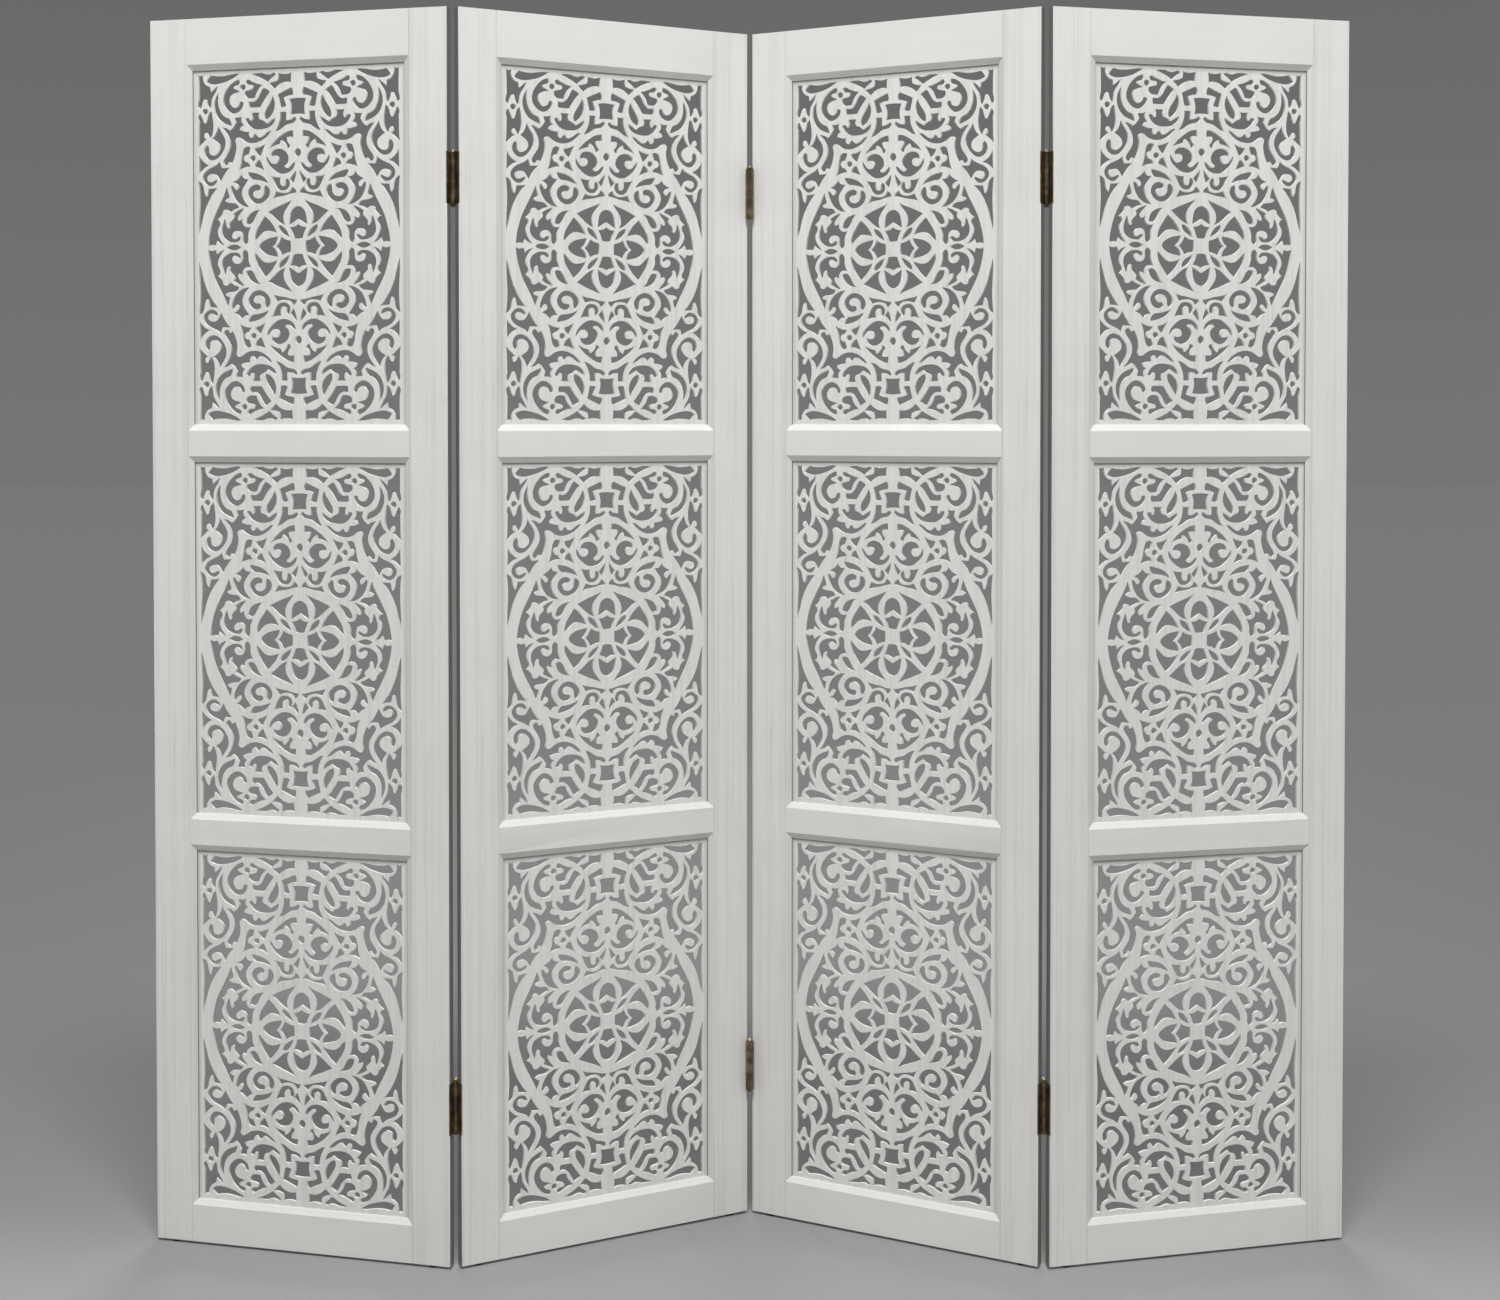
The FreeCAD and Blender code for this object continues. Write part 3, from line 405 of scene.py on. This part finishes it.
@dataclass(frozen=True)
class WhitePaint:
    """Satin white paint brushed over fine-grained wood.

    The spans are the two ends of a ramp. Those in millimetres are steps from one of a leaf's lines.
    The paint carries painted shade: a dark line where the plates go into the frame, a darker border on
    the plates beside the stiles, a painted shadow on the plates under the rails, and darker stile
    bevels. The same dark grey draws the seam lines where the bevels start.
    """

    light: Colour = (0.85, 0.842, 0.816)
    shade: Colour = (0.70, 0.692, 0.662)
    # dark grey of the hinged stiles' outer edges
    hinged_edge_grey: Colour = (0.235, 0.232, 0.225)
    # dark grey of the seam lines, and of the painted shade and painted shadow on the plates and stiles
    seam_and_shade_grey: Colour = (0.24, 0.232, 0.215)
    gloss: float = 0.42
    roughness: float = 0.46
    band_roughness: float = 0.10
    streak_roughness: float = 0.05
    wall_roughness: float = 0.18
    fine: Streaks = Streaks(pitch=620.0, stretch=0.018, detail=3.0, rough=0.6, span=(0.56, 0.74), share=0.4)
    band: Streaks = Streaks(pitch=190.0, stretch=0.012, detail=2.0, rough=0.5, span=(0.42, 0.72), share=0.45)
    level_share: float = 0.2
    brush_pitch: float = 9.0
    brush_span: Span = (0.4, 0.75)
    brush_share: float = 0.2
    pore_depth: float = 0.00016
    pore_strength: float = 0.55
    band_relief: float = 0.3
    wall_span: Span = (0.75, 0.35)
    wall_share: float = 0.55
    # painted shade beside the stiles and painted shadow under the rails' lips, on the plates
    sunk_span: Span = (-0.8 * MM, -0.5 * MM)
    border_span: Span = (-7.0 * MM, -2.0 * MM)
    border_shade_share: float = 0.2
    lip_span: Span = (-9.0 * MM, 0.0)
    rail_span: Span = (20.0 * MM, 15.0 * MM)
    lip_shadow_share: float = 0.72
    # a dark seam line where the bevels start, and painted shade on the stile bevels and inner sides
    seam_half: float = 1.3 * MM
    seam_share: float = 0.22
    bevel_span: Span = (1.5 * MM, -4.0 * MM)
    bevel_shade_share: float = 0.12
    inner_span: Span = (0.3 * MM, 0.1 * MM)
    edge_span: Span = (-0.7 * MM, -0.2 * MM)

    def dress(self, name: str, stance: Stance, member: Member, lines: Lines) -> bpy.types.Material:
        """Mix the paint for one kind of piece of one leaf, with its painted shade and seam lines.

        Args:
            name: The material's name.
            stance: The leaf's place, which the grain follows.
            member: The kind of piece.
            lines: Where the leaf's shaded lines lie.

        Returns:
            The material.
        """
        shader = Shader(bpy.data.materials.new(name))
        spot = stance.local_place(shader)
        is_level = member is Member.RAIL
        depth = self.level_share if is_level else 1.0
        streaks = self.fine.noise(shader, spot, is_level).ramp(*self.fine.span)
        band = self.band.noise(shader, spot, is_level)
        brush = shader.noise(spot, self.brush_pitch).ramp(*self.brush_span)
        grain = streaks * self.fine.share + band.ramp(*self.band.span) * self.band.share
        colour = shader.blend(grain * depth + brush * self.brush_share, self.light, self.shade)
        rough = self.roughness + self.band_roughness * band + self.streak_roughness * streaks
        along, _, up = shader.split(spot)
        reach = abs(along)
        if member is Member.FRET:
            wall = self.walls(shader, stance)
            colour = shader.blend(wall * self.wall_share, colour, self.shade)
            rough = rough + wall * self.wall_roughness
            # painted shade where the plate goes into the stiles and on its border, painted shadow under the
            # rails
            colour = shader.blend(self.fret_shade(reach, up, lines), colour, self.seam_and_shade_grey)
        else:
            # dark seam line where the bevel starts, and painted shade on the stile bevels and inner sides
            colour = shader.blend(self.frame_shade(reach, member, lines), colour, self.seam_and_shade_grey)
        if member is Member.HINGED_STILE:
            # the hinged stiles' outer edges are coloured dark grey
            colour = shader.blend(reach.ramp_at(lines.edge, self.edge_span), colour, self.hinged_edge_grey)
        height = (1.0 - self.band_relief) * (1.0 - streaks) + self.band_relief * band
        normal = shader.bump(height, self.pore_depth * depth, self.pore_strength)
        return shader.surface(
            {"Base Color": colour, "Roughness": rough, "Normal": normal, "Specular IOR Level": self.gloss}
        )

    def walls(self, shader: Shader, stance: Stance) -> Sock:
        """Where the fretwork's sawn walls are, whose paint is darker and rougher.

        Args:
            shader: The material.
            stance: The leaf's place.

        Returns:
            1 on the walls and 0 on the faces.
        """
        facing = (math.sin(stance.turn), -math.cos(stance.turn), 0.0)
        normal = shader.node("ShaderNodeTexCoord", {}, {}, "Normal")
        settings = {"operation": "DOT_PRODUCT"}
        dot = shader.node("ShaderNodeVectorMath", settings, {0: normal, 1: facing}, "Value")
        return abs(dot).ramp(*self.wall_span)

    def fret_shade(self, reach: Sock, up: Sock, lines: Lines) -> Sock:
        """Painted shade on the fretwork beside the stiles, and painted shadow under the rails.

        Args:
            reach: The distance from the leaf's middle line.
            up: The height.
            lines: Where the leaf's shaded lines lie.

        Returns:
            0 on the open fretwork, and 1 in the painted shade where the plates go into the stiles.
        """
        painted_shade_and_seam = reach.ramp_at(lines.sight, self.sunk_span)
        painted_shade_and_seam = painted_shade_and_seam.most(reach.ramp_at(lines.sight, self.border_span) * self.border_shade_share)
        for lip in lines.lips:
            under = up.ramp_at(lip, self.lip_span, smooth=False) * up.ramp_at(lip, self.rail_span)
            painted_shade_and_seam = painted_shade_and_seam.most(under * self.lip_shadow_share)
        return painted_shade_and_seam

    def frame_shade(self, reach: Sock, member: Member, lines: Lines) -> Sock:
        """Painted shade on the stiles' bevels and inner sides, and the seam line where the bevels start.

        Args:
            reach: The distance from the leaf's middle line.
            member: The kind of piece.
            lines: Where the leaf's shaded lines lie.

        Returns:
            0 on the faces, and 1 in the painted shade on the stiles' inner sides.
        """
        painted_shade_and_seam = abs(reach - lines.seam).ramp(self.seam_half, 0.0) * self.seam_share
        if member is Member.RAIL:
            return painted_shade_and_seam
        painted_shade_and_seam = painted_shade_and_seam.most(reach.ramp_at(lines.seam, self.bevel_span) * self.bevel_shade_share)
        return painted_shade_and_seam.most(reach.ramp_at(lines.sight, self.inner_span))


@dataclass(frozen=True)
class AgedBrass:
    """Brass gone brown with age, brighter where it is rubbed."""

    dark: Colour = (0.165, 0.122, 0.078)
    rubbed: Colour = (0.33, 0.255, 0.168)
    speck: Colour = (0.08, 0.056, 0.035)
    roughness: float = 0.38
    cloud_roughness: float = 0.22
    scratch_polish: float = 0.08
    cloud_pitch: float = 70.0
    cloud_span: Span = (0.38, 0.66)
    fleck_pitch: float = 1400.0
    fleck_span: Span = (0.6, 0.74)
    fleck_share: float = 0.4
    scratch_pitch: Place = (2600.0, 2600.0, 60.0)
    cloud_relief: float = 0.5
    fleck_relief: float = 0.3
    scratch_relief: float = 0.2
    relief_depth: float = 0.00006
    relief_strength: float = 0.4

    def dress(self, name: str) -> bpy.types.Material:
        """Mix the finish.

        Args:
            name: The material's name.

        Returns:
            The material.
        """
        shader = Shader(bpy.data.materials.new(name))
        spot = shader.rest_place()
        cloud = shader.noise(spot, self.cloud_pitch, detail=3.0)
        fleck = shader.noise(spot, self.fleck_pitch)
        scratch = shader.noise(shader.stretch(spot, self.scratch_pitch), 1.0)
        colour = shader.blend(cloud.ramp(*self.cloud_span), self.dark, self.rubbed)
        colour = shader.blend(fleck.ramp(*self.fleck_span) * self.fleck_share, colour, self.speck)
        rough = self.roughness + self.cloud_roughness * cloud - self.scratch_polish * scratch
        height = self.cloud_relief * cloud + self.fleck_relief * fleck + self.scratch_relief * scratch
        normal = shader.bump(height, self.relief_depth, self.relief_strength)
        return shader.surface({"Base Color": colour, "Metallic": 1.0, "Roughness": rough, "Normal": normal})


@dataclass(frozen=True)
class GlidePlastic:
    """Hard black plastic with a moulded bloom."""

    base: Colour = (0.018, 0.018, 0.019)
    bloom: Colour = (0.05, 0.05, 0.052)
    bloom_pitch: float = 300.0
    bloom_span: Span = (0.35, 0.7)
    roughness: float = 0.5
    grit_pitch: float = 2400.0
    grit_roughness: float = 0.15
    grit_depth: float = 0.00008
    grit_strength: float = 0.4

    def dress(self, name: str) -> bpy.types.Material:
        """Mix the finish.

        Args:
            name: The material's name.

        Returns:
            The material.
        """
        shader = Shader(bpy.data.materials.new(name))
        spot = shader.rest_place()
        cloud = shader.noise(spot, self.bloom_pitch, detail=3.0)
        grit = shader.noise(spot, self.grit_pitch)
        colour = shader.blend(cloud.ramp(*self.bloom_span), self.base, self.bloom)
        rough = self.roughness + self.grit_roughness * grit
        normal = shader.bump(grit, self.grit_depth, self.grit_strength)
        return shader.surface({"Base Color": colour, "Roughness": rough, "Normal": normal})


def cover(piece: bpy.types.Object, material: bpy.types.Material) -> None:
    """Give a piece one material all over.

    Args:
        piece: The piece.
        material: The material.
    """
    piece.data.materials.clear()
    piece.data.materials.append(material)
    log.info("%s has %s", piece.name, material.name)


def corners(points: list[Vector]) -> tuple[Vector, Vector]:
    """The lowest and highest corners of the box round some points."""
    return Vector(map(min, *points)), Vector(map(max, *points))


@dataclass
class Leaf:
    """One leaf: two stiles, four rails and three fretwork plates, on two glides."""

    name: str
    free_stile: str | None
    paint: WhitePaint
    stile_face: float = 58.5 * MM
    arris: float = 0.6 * MM
    arris_steps: int = 2
    arris_angle: float = math.radians(40)
    weld_gap: float = 0.01 * MM
    stance: Stance = field(init=False)

    def __post_init__(self) -> None:
        """Read the leaf's place off its two glides."""
        points = [vertex.co.copy() for vertex in self.node("glides").data.vertices]
        low, high = corners(points)
        middle = (low + high) / 2
        left = [point for point in points if point.x < middle.x]
        right = [point for point in points if point.x >= middle.x]
        start = sum(left, Vector()) / len(left)
        end = sum(right, Vector()) / len(right)
        centre = (start + end) / 2
        self.stance = Stance(centre.x, centre.y, math.atan2(end.y - start.y, end.x - start.x))

    def node(self, part: str) -> bpy.types.Object:
        """One of the leaf's own CAD nodes, such as its left stile."""
        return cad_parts[f"{self.name}_{part}"]

    def members(self) -> dict[str, Member]:
        """The kind of each painted part of the leaf."""
        kinds = {}
        for part in ("stile_left", "stile_right"):
            kinds[part] = Member.FREE_STILE if part == self.free_stile else Member.HINGED_STILE
        for part in ("rail_bottom", "rail_lower", "rail_upper", "rail_top"):
            kinds[part] = Member.RAIL
        for part in ("jali_lower", "jali_middle", "jali_upper"):
            kinds[part] = Member.FRET
        return kinds

    def dress(self) -> None:
        """Paint the frame and the plates, and ease the frame's sharp edges."""
        lines = self.lines()
        coats: dict[Member, bpy.types.Material] = {}
        for part, member in self.members().items():
            piece = self.node(part)
            if member not in coats:
                name = f"{self.name}_paint_{member.value}"
                coats[member] = self.paint.dress(name, self.stance, member, lines)
            if member is not Member.FRET:
                self.ease(piece)
            cover(piece, coats[member])

    def lines(self) -> Lines:
        """The leaf's shaded lines, read off its left stile and its rails."""
        reaches = [-self.stance.local(vertex.co).x for vertex in self.node("stile_left").data.vertices]
        rails = [self.node(part) for part in ("rail_lower", "rail_upper", "rail_top")]
        lips = tuple(min(vertex.co.z for vertex in rail.data.vertices) for rail in rails)
        return Lines(max(reaches), max(reaches) - self.stile_face, min(reaches), lips)

    def ease(self, piece: bpy.types.Object) -> None:
        """Round a piece's sharp edges a little, as sandpaper does before paint.

        Args:
            piece: The stile or rail.
        """
        weld = piece.modifiers.new("weld", "WELD")
        weld.merge_threshold = self.weld_gap
        ease = piece.modifiers.new("eased_edges", "BEVEL")
        ease.width = self.arris
        ease.segments = self.arris_steps
        ease.limit_method = "ANGLE"
        ease.angle_limit = self.arris_angle
        ease.harden_normals = False


@dataclass
class Glides:
    """The pair of plastic glides under each leaf."""

    finish: GlidePlastic

    def dress(self, leaves: list[Leaf]) -> None:
        """Colour every glide.

        Args:
            leaves: The leaves that stand on them.
        """
        plastic = self.finish.dress("glide_plastic")
        for leaf in leaves:
            cover(leaf.node("glides"), plastic)


@dataclass
class Hinges:
    """The brass butt hinges, with their pins and their cross-headed screws."""

    finish: AgedBrass
    head_radius: float = 2.7 * MM
    head_high: float = 1.3 * MM
    shank_radius: float = 1.45 * MM
    length: float = 17.8 * MM
    point: float = 3.0 * MM
    thread_pitch: float = 1.3 * MM
    thread_depth: float = 0.45 * MM
    slot_half: float = 0.42 * MM
    slot_reach: float = 1.55 * MM
    slot_deep: float = 0.9 * MM
    screw_gap: float = 20 * MM
    sharp_angle: float = math.radians(35)
    head_rings: int = 14
    shank_steps: int = 72
    sides: int = 48

    def dress(self, leaves: list[Leaf]) -> None:
        """Finish the flaps and pins, and make the screws.

        Args:
            leaves: The leaves that the hinges join.
        """
        brass = self.finish.dress("aged_brass")
        for name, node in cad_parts.items():
            if "_flap_" in name or name.endswith("_hinge_pins"):
                cover(node, brass)
        for leaf in leaves:
            screws = self.make_screws(leaf)
            cover(screws, brass)
            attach(screws, leaf.name)
            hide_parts(f"{leaf.name}_hinge_screws")

    def screw_points(self, leaf: Leaf) -> list[list[Vector]]:
        """The CAD screws of a leaf, one by one.

        Args:
            leaf: The leaf that they are driven into.

        Returns:
            One list for each screw, of its points as the leaf sees them.
        """
        groups: dict[tuple[bool, int], list[Vector]] = {}
        for vertex in leaf.node("hinge_screws").data.vertices:
            point = leaf.stance.local(vertex.co)
            key = (point.x > 0, round(point.z / self.screw_gap))
            groups.setdefault(key, []).append(point)
        return [groups[key] for key in sorted(groups)]

    def make_screws(self, leaf: Leaf) -> bpy.types.Object:
        """Cut the screws of one leaf where its CAD screws are.

        Args:
            leaf: The leaf that they are driven into.

        Returns:
            One object with every screw.
        """
        mesh = bmesh.new()
        for points in self.screw_points(leaf):
            low, high = corners(points)
            side = 1.0 if high.x > 0 else -1.0
            head = high.x if side > 0 else low.x
            spot = leaf.stance.place(head, (low.y + high.y) / 2, (low.z + high.z) / 2)
            self.add_screw(mesh, spot, leaf.stance.turn, side)
        data = bpy.data.meshes.new(f"{leaf.name}_screws")
        bmesh.ops.recalc_face_normals(mesh, faces=mesh.faces)
        mesh.to_mesh(data)
        mesh.free()
        for face in data.polygons:
            face.use_smooth = True
        data.set_sharp_from_angle(angle=self.sharp_angle)
        piece = bpy.data.objects.new(f"{leaf.name}_screws", data)
        bpy.context.scene.collection.objects.link(piece)
        return piece

    def recess(self, along: float, across: float) -> float:
        """How deep the cross is cut at a place on the head.

        Args:
            along: The place's distance from the middle, one way.
            across: Its distance the other way.

        Returns:
            The depth.
        """
        reach = max(abs(along), abs(across)) / self.slot_reach
        if min(abs(along), abs(across)) > self.slot_half or reach >= 1:
            return 0.0
        return self.slot_deep * (1 - reach**2)

    def radius_at(self, deep: float, angle: float) -> float:
        """The shank's radius, with its thread and point.

        Args:
            deep: The depth below the head's face.
            angle: The angle round the screw.

        Returns:
            The radius.
        """
        turn = (deep / self.thread_pitch - angle / math.tau) % 1.0
        crest = max(0.0, 1 - abs(turn - 0.5) * 4)
        taper = min(1.0, (self.length - deep) / self.point)
        start = min(1.0, max(0.0, (deep - self.head_high * 2) / self.thread_pitch))
        core = self.shank_radius - self.thread_depth * start
        return (core + self.thread_depth * crest * start) * taper

    def add_loop(
        self, mesh: bmesh.types.BMesh, seat: Matrix, radius: float | None, deep: float | None
    ) -> list[bmesh.types.BMVert]:
        """Add one ring of a screw's points.

        Args:
            mesh: The mesh that grows.
            seat: Where the screw lies.
            radius: The ring's radius, or None where it follows the thread.
            deep: Its depth, or None on the head's face, where it follows the cross.

        Returns:
            The ring's points in order.
        """
        loop = []
        for index in range(self.sides):
            angle = math.tau * index / self.sides
            wide = self.radius_at(deep, angle) if radius is None else radius
            along, across = wide * math.cos(angle), wide * math.sin(angle)
            drop = self.recess(along, across) if deep is None else deep
            loop.append(mesh.verts.new(seat @ Vector((along, across, -drop))))
        return loop

    def add_screw(self, mesh: bmesh.types.BMesh, spot: Vector, turn: float, side: float) -> None:
        """Add one screw to a mesh.

        Args:
            mesh: The mesh that grows.
            spot: The middle of the head's face.
            turn: The leaf's turn about the upright.
            side: 1 on the leaf's right edge, and -1 on its left.
        """
        lie = Matrix.Rotation(turn, 4, "Z") @ Matrix.Rotation(math.radians(90) * side, 4, "Y")
        seat = Matrix.Translation(spot) @ lie
        loops = []
        for ring in range(1, self.head_rings + 1):
            loops.append(self.add_loop(mesh, seat, self.head_radius * ring / self.head_rings, None))
        loops.append(self.add_loop(mesh, seat, self.shank_radius, self.head_high))
        for step in range(1, self.shank_steps):
            deep = self.head_high + (self.length - self.head_high) * step / self.shank_steps
            loops.append(self.add_loop(mesh, seat, None, deep))
        centre = mesh.verts.new(seat @ Vector((0, 0, -self.recess(0.0, 0.0))))
        tip = mesh.verts.new(seat @ Vector((0, 0, -self.length)))
        for index in range(self.sides):
            following = (index + 1) % self.sides
            mesh.faces.new((centre, loops[0][index], loops[0][following]))
            mesh.faces.new((tip, loops[-1][following], loops[-1][index]))
            for inner, outer in zip(loops, loops[1:]):
                mesh.faces.new((inner[index], outer[index], outer[following], inner[following]))


@dataclass(frozen=True)
class PaperFloor:
    """Studio paper, pale at the front and easing to mid grey behind, partly a painted pool of light.

    Each of the levels is a distance behind the screen, in metres, and the grey there. The paper also
    eases to the last grey far in front and far to the sides, so that its pale front is a painted pool of
    light. Near the screen it is lit by the lamps, and with the distance it glows with its own grey to the
    camera and in mirrors.
    """

    levels: tuple[Span, ...] = (
        (-0.20, 0.335),
        (0.15, 0.258),
        (0.42, 0.238),
        (1.3, 0.234),
        (6.3, 0.196),
        (36.0, 0.184),
    )
    front_fade: Span = (4.0, 18.0)
    side_fade: Span = (15.0, 32.0)
    fibre_pitch: float = 40.0
    fibre_depth: float = 0.02
    near_glow: float = 0.10
    glow_span: Span = (1.3, 7.0)

    def grey_at(self, across: Sock, out: Sock) -> Sock:
        """The paper's grey without its fibres, partly a painted pool of light.

        Args:
            across: How far a place lies to the right.
            out: How far back it lies.

        Returns:
            The grey.
        """
        level: Any = self.levels[0][1]
        for (start, before), (end, after) in zip(self.levels, self.levels[1:]):
            level = level + (after - before) * out.ramp(start, end, smooth=False)
        aside = (0.0 - out).ramp(*self.front_fade).most(abs(across).ramp(*self.side_fade))
        return level + aside * (self.levels[-1][1] - level)

    def dress(self, name: str) -> bpy.types.Material:
        """Colour the paper.

        Args:
            name: The material's name.

        Returns:
            The material.
        """
        shader = Shader(bpy.data.materials.new(name))
        spot = shader.rest_place()
        across, out, _ = shader.split(spot)
        fibre = shader.noise(spot, self.fibre_pitch, detail=3.0)
        # painted pool of light: pale near the front of the screen, darker behind it and far away
        level = self.grey_at(across, out)
        tone = shader.grey(level * (1.0 - self.fibre_depth / 2 + self.fibre_depth * fibre))
        plain = shader.node("ShaderNodeBsdfDiffuse", {}, {"Color": tone})
        # painted light: the paper glows with its own grey, more so with the distance
        shine = shader.node("ShaderNodeEmission", {}, {"Color": tone, "Strength": 1.0})
        reach = (across * across + out * out) ** 0.5
        glow = self.near_glow + (1.0 - self.near_glow) * reach.ramp(*self.glow_span)
        share = shader.rays("Camera", "Glossy") * glow
        return shader.finish(shader.node("ShaderNodeMixShader", {}, {0: share, 1: plain, 2: shine}))


@dataclass(frozen=True)
class Lamp:
    """One soft rectangular lamp, with its sizes in metres."""

    name: str
    place: Place
    aim: Place
    wide: float
    high: float
    watts: float

    def hang(self) -> None:
        """Hang the lamp and turn it to its aim."""
        lamp = bpy.data.lights.new(self.name, "AREA")
        lamp.shape = "RECTANGLE"
        lamp.size, lamp.size_y = self.wide, self.high
        lamp.energy = self.watts
        item = bpy.data.objects.new(self.name, lamp)
        item.location = self.place
        way = Vector(self.aim) - Vector(self.place)
        item.rotation_euler = way.to_track_quat("-Z", "Y").to_euler()
        bpy.context.scene.collection.objects.link(item)


@dataclass(frozen=True)
class Studio:
    """The floor, the lamps, the background and the camera.

    The lamps are a broad one above and in front, a weak one at each side, and one behind. The camera's
    focal length is given in pixels of a photograph that is photo_wide pixels wide.
    """

    floor_half: float = 40.0
    floor_squares: int = 8
    lamps: tuple[Lamp, ...] = (
        Lamp("key_lamp", (0.0, -3.3, 6.8), (0.0, 0.0, 0.9), 2.8, 1.5, 485.0),
        Lamp("left_lamp", (-4.0, -1.3, 1.6), (0.0, 0.0, 1.0), 1.4, 2.2, 20.0),
        Lamp("right_lamp", (4.0, -1.3, 1.6), (0.0, 0.0, 1.0), 1.4, 2.2, 20.0),
        Lamp("back_lamp", (0.0, 6.0, 4.2), (0.0, 0.0, 0.9), 3.0, 1.4, 225.0),
    )
    ambient: float = 0.08
    horizon_grey: float = 0.178
    upper_grey: float = 0.141
    backdrop_rise: Span = (0.0, 0.19)
    camera_place: Place = (0.00036, -3.2309, 1.23474)
    camera_pitch: float = math.radians(1.27)
    camera_range: Span = (0.05, 200.0)
    focal_pixels: float = 2153.92
    photo_wide: float = 1500.0
    sensor: float = 36.0
    shift: float = -0.12

    def lay_floor(self) -> None:
        """Lay the paper, a wide sheet of squares."""
        mesh = bmesh.new()
        squares = self.floor_squares
        bmesh.ops.create_grid(mesh, x_segments=squares, y_segments=squares, size=self.floor_half)
        data = bpy.data.meshes.new("paper_floor")
        mesh.to_mesh(data)
        mesh.free()
        floor = bpy.data.objects.new("paper_floor", data)
        bpy.context.scene.collection.objects.link(floor)
        cover(floor, PaperFloor().dress("floor_paper"))

    def light(self) -> None:
        """Hang the lamps."""
        for lamp in self.lamps:
            lamp.hang()

    def paint_world(self) -> None:
        """Light all round evenly, and show a plain grey backdrop to the camera."""
        world = bpy.data.worlds.new("studio")
        bpy.context.scene.world = world
        shader = Shader(world)
        way = shader.node("ShaderNodeTexCoord", {}, {}, "Generated")
        _, _, up = shader.split(way)
        rise = up.ramp(*self.backdrop_rise, smooth=False)
        tone = shader.grey(self.horizon_grey + (self.upper_grey - self.horizon_grey) * rise)
        backdrop = shader.node("ShaderNodeBackground", {}, {"Color": tone, "Strength": 1.0})
        soft = {"Color": (1.0, 1.0, 1.0, 1.0), "Strength": self.ambient}
        fill = shader.node("ShaderNodeBackground", {}, soft)
        shown = shader.rays("Camera", "Glossy", "Transmission")
        shader.finish(shader.node("ShaderNodeMixShader", {}, {0: shown, 1: fill, 2: backdrop}))

    def set_camera(self) -> None:
        """Stand the camera where the photograph was taken from."""
        lens = bpy.data.cameras.new("camera")
        lens.sensor_width = self.sensor
        lens.lens = self.focal_pixels / self.photo_wide * self.sensor
        lens.shift_y = self.shift
        lens.clip_start, lens.clip_end = self.camera_range
        camera = bpy.data.objects.new("camera", lens)
        camera.location = self.camera_place
        camera.rotation_euler = (math.radians(90) - self.camera_pitch, 0.0, 0.0)
        bpy.context.scene.collection.objects.link(camera)
        bpy.context.scene.camera = camera

    def build(self) -> None:
        """Set up the whole studio."""
        self.set_camera()
        self.lay_floor()
        self.light()
        self.paint_world()
        bpy.context.scene.view_settings.view_transform = "Standard"


def main() -> None:
    """Dress the screen piece by piece, and set it in the studio."""
    logging.basicConfig(level=logging.INFO, format="%(message)s")
    Studio().build()
    free_stiles = {"leaf_1": "stile_left", "leaf_2": None, "leaf_3": None, "leaf_4": "stile_right"}
    leaves = [Leaf(name, free_stile, WhitePaint()) for name, free_stile in free_stiles.items()]
    for leaf in leaves:
        leaf.dress()
        log.info("%s turned %.1f degrees", leaf.name, math.degrees(leaf.stance.turn))
    Glides(GlidePlastic()).dress(leaves)
    Hinges(AgedBrass()).dress(leaves)


if __name__ == "__main__":
    main()
